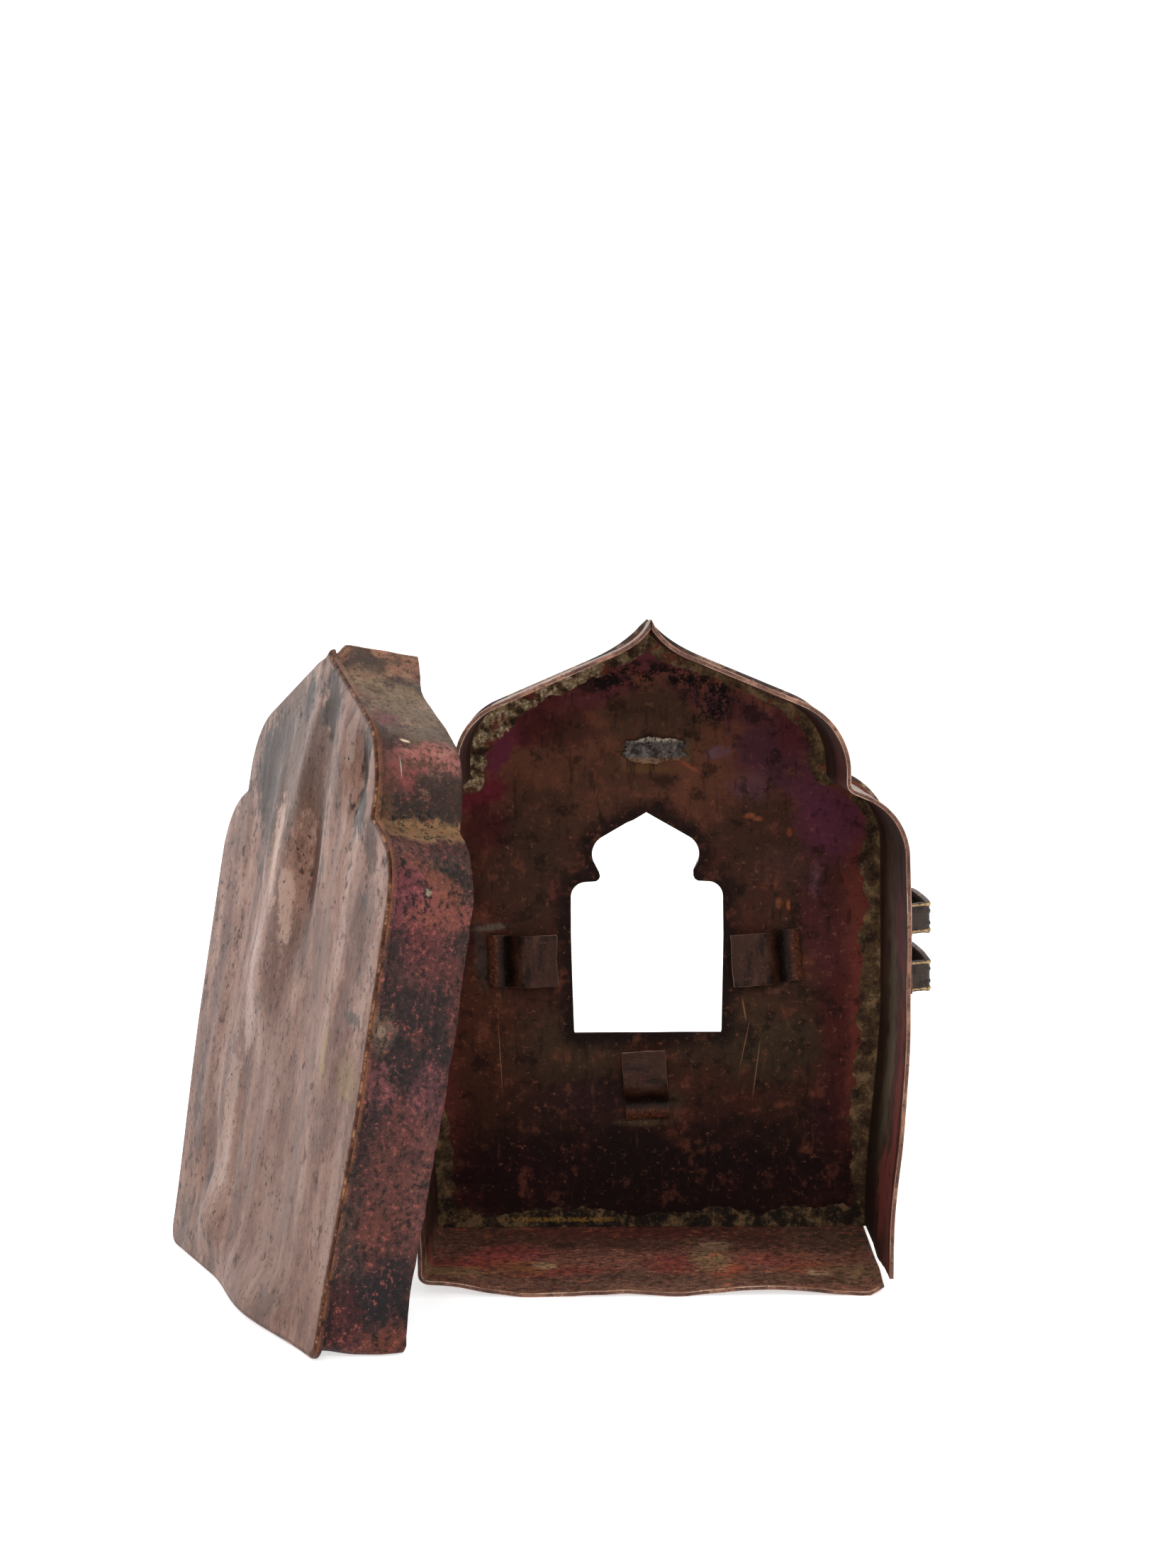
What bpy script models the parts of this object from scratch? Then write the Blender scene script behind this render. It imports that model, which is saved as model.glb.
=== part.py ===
# Gau box: an old copper shrine case in two halves. The open shell stands on its floor plate with its
# windowed front plate at the far side, and the shallow back cover stands beside it, leaning towards it.
# Metres, +Z up. The shell's open back faces -Y and its front plate +Y.
# The origin is on the ground, below the middle of the shell.

import math
from dataclasses import dataclass, replace

import bmesh
import bpy
from mathutils import Euler, Vector

MM = 0.001

# Shell, measured at its open edge
BOX_HEIGHT = 153.0 * MM
BOX_DEPTH = 62.0 * MM
SHEET = 1.0 * MM
JOINT_GAP = 0.3 * MM
WIDE_HALF_WIDTH = 57.8 * MM
BASE_TAPER = 4.1 * MM
SWELL_LOW = 4.0 * MM
SWELL_HIGH = 63.0 * MM
SPRING_HEIGHT = 99.0 * MM
SHOULDER_RADIUS = 15.2 * MM
SHOULDER_SLOPE = math.radians(22.5)
LOBE_SETBACK = 13.5 * MM
LOBE_FLANK = 2.2 * MM
RIGHT_LOBE_RADIUS = 17.2 * MM
LEFT_LOBE_RADIUS = 14.4 * MM
NOTCH_RADIUS = 2.0 * MM
OGEE_SLOPE = math.radians(23.0)
TIP_HALF_WIDTH = 8.0 * MM
TIP_SLOPE = math.radians(64.0)
FLARE = 1.5 * MM
FLOOR_BEND_RADIUS = 2.5 * MM

# Front plate
FLANGE = 1.9 * MM
FLANGE_TIP_RISE = 2.2 * MM
FLANGE_LOBE_EASE = 2.4 * MM
FLANGE_TIP_HALF_WIDTH = 14.0 * MM
FLANGE_TIP_SLOPE = math.radians(52.0)
EDGE_BEAD_RADIUS = 0.95 * MM
FLANGE_NOTCH_RADIUS = 4.0 * MM

# Window in the front plate
WINDOW_CENTRE = -0.5 * MM
WINDOW_SILL = 50.4 * MM
WINDOW_HEIGHT = 56.0 * MM
WINDOW_HALF_WIDTH = 19.2 * MM
WINDOW_SHOULDER_DROP = 17.6 * MM
WINDOW_CORNER_RADIUS = 3.8 * MM
ONION_HALF_WIDTH = 13.3 * MM
ONION_DROP = 10.6 * MM
ONION_RADIUS = 5.0 * MM
NECK_HALF_WIDTH = 11.8 * MM

# Floor plate: how far its free edge has lifted off the ground, and where
FLOOR_LIFT_LEFT = 3.0 * MM
FLOOR_LIFT_LEFT_RUN = 27.0 * MM
FLOOR_WAVES = ((-7.0 * MM, 15.0 * MM, 0.8 * MM), (26.0 * MM, 23.0 * MM, 1.6 * MM))
FLOOR_CURL = 1.6 * MM
FLOOR_CURL_RUN = 5.0 * MM
WAVE_DEPTH_SHARE = 0.5
CORNER_LOSS = 0.7 * MM

# Opened seam between the floor plate and the right wall: share of the depth, height of the gap
SEAM_GAPS = ((0.0, 1.5 * MM), (0.2, 1.3 * MM), (0.45, 0.35 * MM), (0.62, 1.0 * MM), (0.8, 0.7 * MM), (1.0, 0.35 * MM))

# Clips on the inside of the front plate
CLIP_SHEET = 0.7 * MM
CLIP_LENGTH = 17.6 * MM
CLIP_SIDE_WIDTH = 13.2 * MM
CLIP_LOWER_WIDTH = 11.2 * MM
CLIP_FOOT = 3.6 * MM
CLIP_RISE = 3.4 * MM
CLIP_RISE_RUN = 5.5 * MM
CLIP_HEIGHT = 69.2 * MM
CLIP_WINDOW_CLEARANCE = 2.0 * MM
LOWER_CLIP_CENTRE = -1.2 * MM
LOWER_CLIP_DROP = 4.2 * MM

# Old solder left by a lost clip above the window
SOLDER_WIDTH = 15.0 * MM
SOLDER_HEIGHT = 6.6 * MM
SOLDER_THICKNESS = 0.6 * MM
SOLDER_CENTRE_X = 1.6 * MM
SOLDER_CENTRE_Z = 122.0 * MM

# Strap loops on the outside of the walls
LOOP_BAND = 7.0 * MM
LOOP_SHEET = 1.0 * MM
LOOP_REACH = 4.6 * MM
LOOP_LENGTH = 34.0 * MM
LOOP_FOOT = 4.0 * MM
LOOP_BEND_RADIUS = 1.2 * MM
LOOP_NEAR_EDGE = 13.5 * MM
UPPER_LOOP_HEIGHT = 84.0 * MM
LOWER_LOOP_HEIGHT = 70.6 * MM

# Back cover
COVER_DEPTH = 19.3 * MM
COVER_GROWTH = 0.8 * MM
COVER_HEIGHT = 151.2 * MM
COVER_TIP_SLOPE = math.radians(42.0)
COVER_TIP_DEPTH = 21.5 * MM
COVER_TIP_RUN = 13.0 * MM
COVER_TIP_BULGE = 2.3 * MM
COVER_TIP_RISE_RUN = 1.8 * MM
COVER_SPLAY = 4.0 * MM
COVER_SPLAY_HEIGHT = 26.0 * MM
COVER_EDGE_RADIUS = 1.0 * MM
COVER_LIP = 0.6 * MM
COVER_LEAN = math.radians(-9.0)
COVER_ROLL = math.radians(1.7)
COVER_TURN = math.radians(-63.4)
COVER_SLIDE = 15.4 * MM
COVER_OVERLAP = 1.8 * MM
COVER_SINK = 2.2 * MM
COVER_CORNER_RADIUS = 3.4 * MM
COVER_BASE_CLEARANCE = 0.1 * MM
COVER_SETTLE_RUN = 8.0 * MM

# The cover's lower edge is pushed out over part of its width
BASE_BULGE = 3.6 * MM
BASE_BULGE_CENTRE = 16.0 * MM
BASE_BULGE_RUN = 36.0 * MM
BASE_BULGE_HEIGHT = 18.0 * MM

# Dents in the cover's face: centre across, centre up, half-width across, half-length up, turn, depth.
# A positive depth pushes the sheet out, a negative one pushes it in.
DENTS = (
    (-7.5 * MM, 104.0 * MM, 7.0 * MM, 24.0 * MM, 14.0, 1.5 * MM),
    (4.5 * MM, 100.0 * MM, 6.0 * MM, 22.0 * MM, 2.0, -2.4 * MM),
    (22.5 * MM, 131.0 * MM, 6.0 * MM, 12.0 * MM, 6.0, 1.3 * MM),
    (34.5 * MM, 124.0 * MM, 7.0 * MM, 13.0 * MM, 12.0, -2.2 * MM),
    (-12.0 * MM, 74.0 * MM, 8.0 * MM, 10.0 * MM, -25.0, 1.4 * MM),
    (18.0 * MM, 62.0 * MM, 16.0 * MM, 40.0 * MM, 4.0, -1.4 * MM),
    (-24.0 * MM, 14.0 * MM, 12.0 * MM, 9.0 * MM, 35.0, 1.8 * MM),
    (-34.0 * MM, 24.0 * MM, 9.0 * MM, 12.0 * MM, 20.0, -1.6 * MM),
    (34.0 * MM, 66.0 * MM, 12.0 * MM, 46.0 * MM, 3.0, 1.1 * MM),
    (-34.0 * MM, 88.0 * MM, 11.0 * MM, 26.0 * MM, 5.0, -1.2 * MM),
)

# Widths and heights that follow from the sizes above: the walls draw in towards the base, the upper lobe is
# set in from them, and the lobe's curve starts a short flank above the fillet in the notch.
BASE_HALF_WIDTH = WIDE_HALF_WIDTH - BASE_TAPER
LOBE_HALF_WIDTH = WIDE_HALF_WIDTH - LOBE_SETBACK
SHOULDER_END = WIDE_HALF_WIDTH - SHOULDER_RADIUS * (1.0 - math.sin(SHOULDER_SLOPE))
NOTCH_HEIGHT = (
    SPRING_HEIGHT
    + SHOULDER_RADIUS * math.cos(SHOULDER_SLOPE)
    + (SHOULDER_END - LOBE_HALF_WIDTH) * math.tan(SHOULDER_SLOPE)
    + NOTCH_RADIUS * math.tan((math.pi / 2 - SHOULDER_SLOPE) / 2)
)
LOBE_CENTRE_HEIGHT = NOTCH_HEIGHT + LOBE_FLANK


@dataclass
class Arch:
    """Half of the keel-arched outline: walls, shoulder, notch, upper lobe and ogee tip."""

    base: float = BASE_HALF_WIDTH
    wide: float = WIDE_HALF_WIDTH
    swell_low: float = SWELL_LOW
    swell_high: float = SWELL_HIGH
    spring: float = SPRING_HEIGHT
    shoulder_radius: float = SHOULDER_RADIUS
    lobe: float = LOBE_HALF_WIDTH
    lobe_centre: float = LOBE_CENTRE_HEIGHT
    lobe_radius: float = RIGHT_LOBE_RADIUS
    notch_radius: float = NOTCH_RADIUS
    tip_width: float = TIP_HALF_WIDTH
    tip_slope: float = TIP_SLOPE
    height: float = BOX_HEIGHT


RIGHT = Arch()
LEFT = replace(
    RIGHT,
    lobe_radius=LEFT_LOBE_RADIUS,
    lobe_centre=LOBE_CENTRE_HEIGHT + 0.9 * (RIGHT_LOBE_RADIUS - LEFT_LOBE_RADIUS),
)


def grown(arch, by, tip_by=None, notch_radius=None):
    """The same arch, moved outwards by one distance all round."""
    return replace(
        arch,
        base=arch.base + by,
        wide=arch.wide + by,
        shoulder_radius=arch.shoulder_radius + by,
        lobe=arch.lobe + by,
        lobe_radius=arch.lobe_radius + by,
        notch_radius=max(arch.notch_radius - by, 0.5 * MM) if notch_radius is None else notch_radius,
        height=arch.height + (by / math.cos(arch.tip_slope) if tip_by is None else tip_by),
    )


def smooth(low, high, value):
    """0 below low, 1 above high, an S-curve between."""
    t = min(max((value - low) / (high - low), 0.0), 1.0)
    return t * t * (3.0 - 2.0 * t)


def arc(centre_x, centre_z, radius, start, end, steps):
    """Points on an arc, both ends included."""
    turns = [start + (end - start) * i / steps for i in range(steps + 1)]
    return [(centre_x + radius * math.cos(a), centre_z + radius * math.sin(a)) for a in turns]


def bezier(p0, p1, p2, p3, steps):
    """Points on a cubic curve, without its first one."""
    points = []
    for i in range(1, steps + 1):
        t = i / steps
        weights = ((1 - t) ** 3, 3 * t * (1 - t) ** 2, 3 * t * t * (1 - t), t ** 3)
        points.append(tuple(sum(w * p[k] for w, p in zip(weights, (p0, p1, p2, p3))) for k in (0, 1)))
    return points


def half_outline(arch, start_height=0.0, tip_extra=0.0):
    """Points (x, z) up one side of the arch, from its base to its tip."""
    points = []
    for i in range(7):
        z = start_height + (arch.spring - start_height) * i / 7
        swell = smooth(arch.swell_low, arch.swell_high, z)
        points.append((arch.base + (arch.wide - arch.base) * swell, z))
    quarter = math.pi / 2
    shoulder = arc(
        arch.wide - arch.shoulder_radius, arch.spring, arch.shoulder_radius, 0.0, quarter - SHOULDER_SLOPE, 6
    )
    points += shoulder
    end_x, end_z = shoulder[-1]
    notch_z = end_z + (end_x - arch.lobe) * math.tan(SHOULDER_SLOPE)
    turn = quarter - SHOULDER_SLOPE
    centre_z = notch_z + arch.notch_radius * math.tan(turn / 2)
    centre_x = arch.lobe + arch.notch_radius
    points += arc(centre_x, centre_z, arch.notch_radius, math.pi + turn, math.pi, 3)
    lobe_x = arch.lobe - arch.lobe_radius
    lobe_low = max(arch.lobe_centre, centre_z + 0.2 * MM)
    lobe = arc(lobe_x, lobe_low, arch.lobe_radius, 0.0, quarter - OGEE_SLOPE, 7)
    points += lobe
    start_x, start_z = lobe[-1]
    tip_x = arch.tip_width
    tip_z = start_z + (start_x - tip_x) * math.tan(OGEE_SLOPE)
    points.append(((start_x + tip_x) / 2, (start_z + tip_z) / 2))
    points.append((tip_x, tip_z))
    reach = tip_x * 0.42
    tip_out, tip_up = math.cos(arch.tip_slope), math.sin(arch.tip_slope)
    low_control = (tip_x - reach * math.cos(OGEE_SLOPE), tip_z + reach * math.sin(OGEE_SLOPE))
    top_control = (reach * tip_out, arch.height - reach * tip_up)
    points += bezier((tip_x, tip_z), low_control, top_control, (0.0, arch.height), 4)
    if tip_extra:
        points[-1] = (-tip_extra * tip_out, arch.height + tip_extra * tip_up)
    return points


def mirrored(points):
    return [(-x, z) for x, z in points]


def collection(name):
    made = bpy.data.collections.new(name)
    bpy.context.scene.collection.children.link(made)
    return made


def principled(name, colour, roughness, metallic):
    made = bpy.data.materials.new(name)
    made.use_nodes = True
    made.diffuse_color = (*colour, 1.0)
    shader = made.node_tree.nodes["Principled BSDF"]
    shader.inputs["Base Color"].default_value = (*colour, 1.0)
    shader.inputs["Roughness"].default_value = roughness
    shader.inputs["Metallic"].default_value = metallic
    return made


def add_object(name, mesh, where, finish=None):
    made = bpy.data.objects.new(name, mesh)
    where.objects.link(made)
    if finish:
        mesh.materials.append(finish)
    return made


def bent_sheet(name, columns, rows, place, thickness, where, finish):
    """A flat blank of sheet metal, bent by place(u, v) and given its thickness about that surface."""
    form = bmesh.new()
    bmesh.ops.create_grid(form, x_segments=columns, y_segments=rows, size=0.5)
    for vertex in form.verts:
        vertex.co = Vector(place(vertex.co.x + 0.5, vertex.co.y + 0.5))
    bmesh.ops.remove_doubles(form, verts=form.verts, dist=0.001 * MM)
    bmesh.ops.recalc_face_normals(form, faces=form.faces)
    mesh = bpy.data.meshes.new(name)
    form.to_mesh(mesh)
    form.free()
    made = add_object(name, mesh, where, finish)
    wall = made.modifiers.new("thickness", "SOLIDIFY")
    wall.thickness = thickness
    wall.offset = 0.0
    wall.use_even_offset = True
    return made


def cutter_box(name, low, high, where):
    form = bmesh.new()
    bmesh.ops.create_cube(form, size=1.0)
    for vertex in form.verts:
        vertex.co = Vector([a + (b - a) * (c + 0.5) for a, b, c in zip(low, high, vertex.co)])
    mesh = bpy.data.meshes.new(name)
    form.to_mesh(mesh)
    form.free()
    made = add_object(name, mesh, where)
    made.hide_render = True
    made.display_type = "WIRE"
    return made


def boolean(target, tool, operation):
    change = target.modifiers.new(operation.lower(), "BOOLEAN")
    change.operation = operation
    change.solver = "EXACT"
    change.object = tool


def blend(a, b, t):
    return a + (b - a) * t


def steps_between(table, share):
    """Straight interpolation in a short table of (share, value)."""
    for (s0, v0), (s1, v1) in zip(table, table[1:]):
        if share <= s1:
            return blend(v0, v1, (share - s0) / (s1 - s0))
    return table[-1][1]


def at(points, share):
    """The point of a list nearest to a share of its count."""
    return points[round(share * (len(points) - 1))]


NEAR_Y = -BOX_DEPTH / 2
PLATE_INSIDE_Y = BOX_DEPTH / 2 - SHEET
WALL_END_Y = PLATE_INSIDE_Y - JOINT_GAP
MID = -SHEET / 2


def floor_lift(x, share):
    """How far the floor plate's sheet is lifted at x, at a share of the depth from the free edge."""
    fade = 1.0 - smooth(0.0, WAVE_DEPTH_SHARE, share)
    left_run_start = -BASE_HALF_WIDTH + FLOOR_LIFT_LEFT_RUN
    lift = FLOOR_LIFT_LEFT * smooth(0.0, FLOOR_LIFT_LEFT_RUN, left_run_start - x)
    for centre, half_width, height in FLOOR_WAVES:
        lift += height * (1.0 - smooth(0.0, half_width, abs(x - centre)))
    curl_start = BASE_HALF_WIDTH - CORNER_LOSS - FLOOR_CURL_RUN
    lift += FLOOR_CURL * smooth(0.0, FLOOR_CURL_RUN, x - curl_start)
    return lift * fade


def wall_arch(arch, share):
    """The middle of a wall's sheet at a share of the shell's depth: the walls flare towards the front plate."""
    flare = FLARE * share
    return grown(grown(arch, flare, tip_by=flare), MID)


def left_strip_path(arch):
    """Left wall from the tip down, round the lower bend and along the floor to the right edge."""
    bend = FLOOR_BEND_RADIUS - SHEET / 2
    middle = SHEET / 2
    side = mirrored(half_outline(arch, start_height=middle + bend, tip_extra=SHEET))[::-1]
    corner = arc(-arch.base + bend, middle + bend, bend, math.pi, 1.5 * math.pi, 3)[1:]
    start = corner[-1][0]
    stop = arch.base - SHEET / 2 - JOINT_GAP
    floor = [(blend(start, stop, i / 16), middle) for i in range(1, 17)]
    return side + corner + floor


def wall_left(where, finish):
    near = left_strip_path(wall_arch(LEFT, 0.0))
    far = left_strip_path(wall_arch(LEFT, 1.0))
    lift_height = 20.0 * MM

    def place(u, v):
        (x0, z0), (x1, z1) = at(near, u), at(far, u)
        x, z = blend(x0, x1, v), blend(z0, z1, v)
        lift = floor_lift(x, v) if x < 0.0 or z < lift_height else 0.0
        z += lift * max(0.0, 1.0 - (z - SHEET / 2) / lift_height)
        stop = near[-1][0]
        lost = CORNER_LOSS * smooth(0.0, 1.0, 1.0 - v / 0.35) * smooth(stop - 12.0 * MM, stop, x)
        y = blend(NEAR_Y, WALL_END_Y, v)
        return (x - (lost if z < lift_height else 0.0), y, z)

    return bent_sheet("wall_left_and_floor", len(near) - 1, 7, place, SHEET, where, finish)


def wall_right(where, finish):
    stop = BASE_HALF_WIDTH - SHEET - JOINT_GAP - CORNER_LOSS

    def place(u, v):
        torn = SHEET + floor_lift(stop, v) + steps_between(SEAM_GAPS, v)
        x, z = at(half_outline(wall_arch(RIGHT, v), start_height=torn, tip_extra=SHEET), u)
        return (x, blend(NEAR_Y, WALL_END_Y, v), z)

    columns = len(half_outline(RIGHT)) - 1
    return bent_sheet("wall_right", columns, 7, place, SHEET, where, finish)


def front_plate(where, cutters, finish):
    """Flat plate with the window cut out and a rounded bead along its edge."""
    outward = FLARE + FLANGE
    centre_in = -EDGE_BEAD_RADIUS
    right, left = (
        replace(
            grown(arch, outward + centre_in, FLANGE_TIP_RISE + centre_in, FLANGE_NOTCH_RADIUS),
            lobe_radius=arch.lobe_radius + outward + centre_in - FLANGE_LOBE_EASE,
            tip_width=FLANGE_TIP_HALF_WIDTH,
            tip_slope=FLANGE_TIP_SLOPE,
        )
        for arch in (RIGHT, LEFT)
    )
    low = EDGE_BEAD_RADIUS
    side = half_outline(right, start_height=low)
    other = mirrored(half_outline(left, start_height=low))[::-1]
    loop = side + other[1:]
    plate_middle = BOX_DEPTH / 2 - SHEET / 2

    flat = flat_outline("front_plate", loop, SHEET, plate_middle, where, finish)
    bead_curve = bpy.data.curves.new("edge_bead", "CURVE")
    bead_curve.dimensions = "3D"
    spline = bead_curve.splines.new("POLY")
    spline.points.add(len(loop) - 1)
    bead_y = PLATE_INSIDE_Y + EDGE_BEAD_RADIUS
    for point, (x, z) in zip(spline.points, loop):
        point.co = (x, bead_y, z, 1.0)
    spline.use_cyclic_u = True
    bead_curve.bevel_depth = EDGE_BEAD_RADIUS
    bead_curve.bevel_resolution = 1
    bead = curve_to_mesh("edge_bead", bead_curve, cutters)
    boolean(flat, bead, "UNION")

    window = flat_outline("window_cutter", window_outline(), 6 * SHEET, plate_middle, cutters, None)
    window.hide_render = True
    window.display_type = "WIRE"
    boolean(flat, window, "DIFFERENCE")
    return flat


def flat_outline(name, loop, thickness, y, where, finish):
    """A flat closed outline, filled and given its thickness along Y."""
    curve = bpy.data.curves.new(name, "CURVE")
    curve.dimensions = "2D"
    curve.fill_mode = "BOTH"
    curve.extrude = thickness / 2
    spline = curve.splines.new("POLY")
    spline.points.add(len(loop) - 1)
    for point, (x, z) in zip(spline.points, loop):
        point.co = (x, z, 0.0, 1.0)
    spline.use_cyclic_u = True
    made = curve_to_mesh(name, curve, where, (math.pi / 2, 0.0, 0.0), (0.0, y, 0.0))
    made.hide_render = False
    made.display_type = "TEXTURED"
    if finish:
        made.data.materials.append(finish)
    return made


def curve_to_mesh(name, curve, where, rotation=(0.0, 0.0, 0.0), location=(0.0, 0.0, 0.0)):
    """The curve as a closed mesh, with the caps welded on."""
    holder = bpy.data.objects.new(name + "_curve", curve)
    where.objects.link(holder)
    holder.rotation_euler = rotation
    holder.location = location
    bpy.context.view_layer.update()
    evaluated = holder.evaluated_get(bpy.context.evaluated_depsgraph_get())
    mesh = bpy.data.meshes.new_from_object(evaluated)
    mesh.name = name
    form = bmesh.new()
    form.from_mesh(mesh)
    bmesh.ops.remove_doubles(form, verts=form.verts, dist=0.001 * MM)
    bmesh.ops.recalc_face_normals(form, faces=form.faces)
    form.to_mesh(mesh)
    form.free()
    mesh.materials.clear()
    made = add_object(name, mesh, where)
    made.matrix_world = holder.matrix_world.copy()
    made.hide_render = True
    made.display_type = "WIRE"
    bpy.data.objects.remove(holder)
    return made


def window_outline():
    """Stepped window: straight sides, rounded shoulders, a narrow neck and an onion-shaped top."""
    top = WINDOW_SILL + WINDOW_HEIGHT
    shoulder = top - WINDOW_SHOULDER_DROP
    onion_z = top - ONION_DROP
    onion_x = ONION_HALF_WIDTH - ONION_RADIUS
    half = [(WINDOW_HALF_WIDTH - 0.5 * MM, WINDOW_SILL)]
    corner_x = WINDOW_HALF_WIDTH - WINDOW_CORNER_RADIUS
    half += arc(corner_x, shoulder - WINDOW_CORNER_RADIUS, WINDOW_CORNER_RADIUS, 0.0, math.pi / 2, 4)
    half.append((NECK_HALF_WIDTH + 0.9 * MM, shoulder + 0.1 * MM))
    half.append((NECK_HALF_WIDTH, shoulder + 1.1 * MM))
    half += arc(onion_x, onion_z, ONION_RADIUS, math.radians(-46), math.radians(60), 7)
    start_x, start_z = half[-1]
    half += bezier(
        (start_x, start_z),
        (start_x * 0.62, start_z + start_x * 0.22),
        (start_x * 0.28, top - start_x * 0.17),
        (0.0, top),
        4,
    )
    loop = half + mirrored(half[:-1])[::-1]
    return [(x + WINDOW_CENTRE, z) for x, z in loop]


def clip_height(s):
    """Height of a clip's strip off the plate, at a distance s from the end of its foot."""
    foot = 0.45 * MM * math.sin(math.pi * min(s / CLIP_FOOT, 1.0))
    rise = CLIP_RISE * smooth(CLIP_FOOT, CLIP_FOOT + CLIP_RISE_RUN, s)
    settle = 0.5 * MM * smooth(CLIP_FOOT + CLIP_RISE_RUN, CLIP_LENGTH, s)
    return foot + rise - settle


def clip(name, foot_x, foot_z, direction, width, where, finish):
    """A strip soldered by its foot, with its free tongue standing off the plate towards the window."""
    turn = math.radians(direction)
    along = (math.cos(turn), math.sin(turn))
    across = (-math.sin(turn), math.cos(turn))
    first_y = PLATE_INSIDE_Y - JOINT_GAP - CLIP_SHEET / 2

    def place(u, v):
        s, w = u * CLIP_LENGTH, (v - 0.5) * width
        x = foot_x + along[0] * s + across[0] * w
        z = foot_z + along[1] * s + across[1] * w
        return (x, first_y - clip_height(s), z)

    return bent_sheet(name, 14, 2, place, CLIP_SHEET, where, finish)


def clips(where, finish):
    reach = WINDOW_HALF_WIDTH + CLIP_WINDOW_CLEARANCE + CLIP_LENGTH
    clip("clip_left", WINDOW_CENTRE - reach - 1.4 * MM, CLIP_HEIGHT - 0.4 * MM, 1.5, CLIP_SIDE_WIDTH, where, finish)
    clip("clip_right", WINDOW_CENTRE + reach, CLIP_HEIGHT + 1.1 * MM, 185.0, CLIP_SIDE_WIDTH, where, finish)
    foot_z = WINDOW_SILL - LOWER_CLIP_DROP - CLIP_LENGTH
    clip("clip_lower", LOWER_CLIP_CENTRE + 0.6 * MM, foot_z, 93.5, CLIP_LOWER_WIDTH, where, finish)


def solder_patch(where, finish):
    """A thin uneven patch of grey solder, where a fourth clip was."""
    first_y = PLATE_INSIDE_Y - JOINT_GAP - SOLDER_THICKNESS / 2

    def place(u, v):
        a, b = 2.0 * u - 1.0, 2.0 * v - 1.0
        x = a * SOLDER_WIDTH / 2 * math.sqrt(1.0 - 0.42 * b * b) * (1.0 - 0.06 * math.cos(9.0 * v))
        z = b * SOLDER_HEIGHT / 2 * math.sqrt(1.0 - 0.42 * a * a) * (1.0 - 0.08 * math.sin(11.0 * u))
        return (SOLDER_CENTRE_X + x, first_y - 0.12 * MM * math.sin(7.0 * u + 5.0 * v), SOLDER_CENTRE_Z + z)

    return bent_sheet("solder_patch", 8, 4, place, SOLDER_THICKNESS, where, finish)


def loop_path(reach):
    """Plan of a strap loop, as (out from the wall, along the depth): foot, leg, band, leg, foot."""
    half = LOOP_LENGTH / 2
    r = LOOP_BEND_RADIUS
    path = [(0.0, -half - LOOP_FOOT), (0.0, -half - r)]
    path += [(r - r * math.cos(a), -half - r + r * math.sin(a)) for a in (math.pi / 4, math.pi / 2)]
    path += [(reach - r, -half)]
    path += [(reach - r + r * math.sin(a), -half + r - r * math.cos(a)) for a in (math.pi / 4, math.pi / 2)]
    path += [(reach + 0.3 * MM, -half / 3), (reach + 0.3 * MM, half / 3)]
    path += [(reach - r + r * math.cos(a), half - r + r * math.sin(a)) for a in (0.0, math.pi / 4, math.pi / 2)]
    path += [(r, half)]
    path += [(r - r * math.sin(a), half + r - r * math.cos(a)) for a in (math.pi / 4, math.pi / 2)]
    path += [(0.0, half + LOOP_FOOT)]
    return path


def wall_x(arch, z):
    """Half-width of the arch's wall at a height below the spring line."""
    return arch.base + (arch.wide - arch.base) * smooth(arch.swell_low, arch.swell_high, z)


def strap_loop(name, side, height, where, finish):
    """A strip bent like a staple, soldered to the outside of a wall by its two feet."""
    path = loop_path(LOOP_REACH)
    middle_y = NEAR_Y + LOOP_NEAR_EDGE + LOOP_LENGTH / 2
    bead_places = (0.0, 0.16, 0.3, 0.7, 0.84, 1.0)
    bead_heights = (0.25, 0.0, 0.12, 0.12, 0.0, 0.25)

    def place(u, v):
        out, along = at(path, u)
        y = middle_y + along
        share = (y - NEAR_Y) / (WALL_END_Y - NEAR_Y)
        z = height + (bead_places[round(v * 5)] - 0.5) * LOOP_BAND
        skin = wall_x(grown(RIGHT, FLARE * share), height) + JOINT_GAP + LOOP_SHEET / 2
        raised = bead_heights[round(v * 5)] * MM * smooth(0.0, LOOP_REACH, out)
        return (side * (skin + out + raised), y, z)

    return bent_sheet(name, len(path) - 1, 5, place, LOOP_SHEET, where, finish)


def strap_loops(where, finish):
    for side_name, side in (("right", 1.0), ("left", -1.0)):
        for level, height in (("upper", UPPER_LOOP_HEIGHT), ("lower", LOWER_LOOP_HEIGHT)):
            strap_loop(f"strap_loop_{side_name}_{level}", side, height, where, finish)


LAP_END = SHEET / 2 + COVER_EDGE_RADIUS + COVER_LIP
COVER_TURNING = Euler((COVER_LEAN, COVER_ROLL, COVER_TURN), "XYZ").to_matrix()
COVER_RIGHT = replace(grown(RIGHT, COVER_GROWTH), height=COVER_HEIGHT, tip_slope=COVER_TIP_SLOPE)
COVER_LEFT = replace(grown(LEFT, COVER_GROWTH), height=COVER_HEIGHT, tip_slope=COVER_TIP_SLOPE)


def cover_origin():
    """Where the cover's own origin stands, so that the shell's left edge is just inside its open side."""
    touch = Vector((-WIDE_HALF_WIDTH, NEAR_Y, SPRING_HEIGHT))
    local_x, local_y = COVER_SLIDE, COVER_DEPTH - COVER_OVERLAP
    row = COVER_TURNING[2]
    local_z = (SPRING_HEIGHT + COVER_SINK - row[0] * local_x - row[1] * local_y) / row[2]
    return touch - COVER_TURNING @ Vector((local_x, local_y, local_z))


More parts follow.
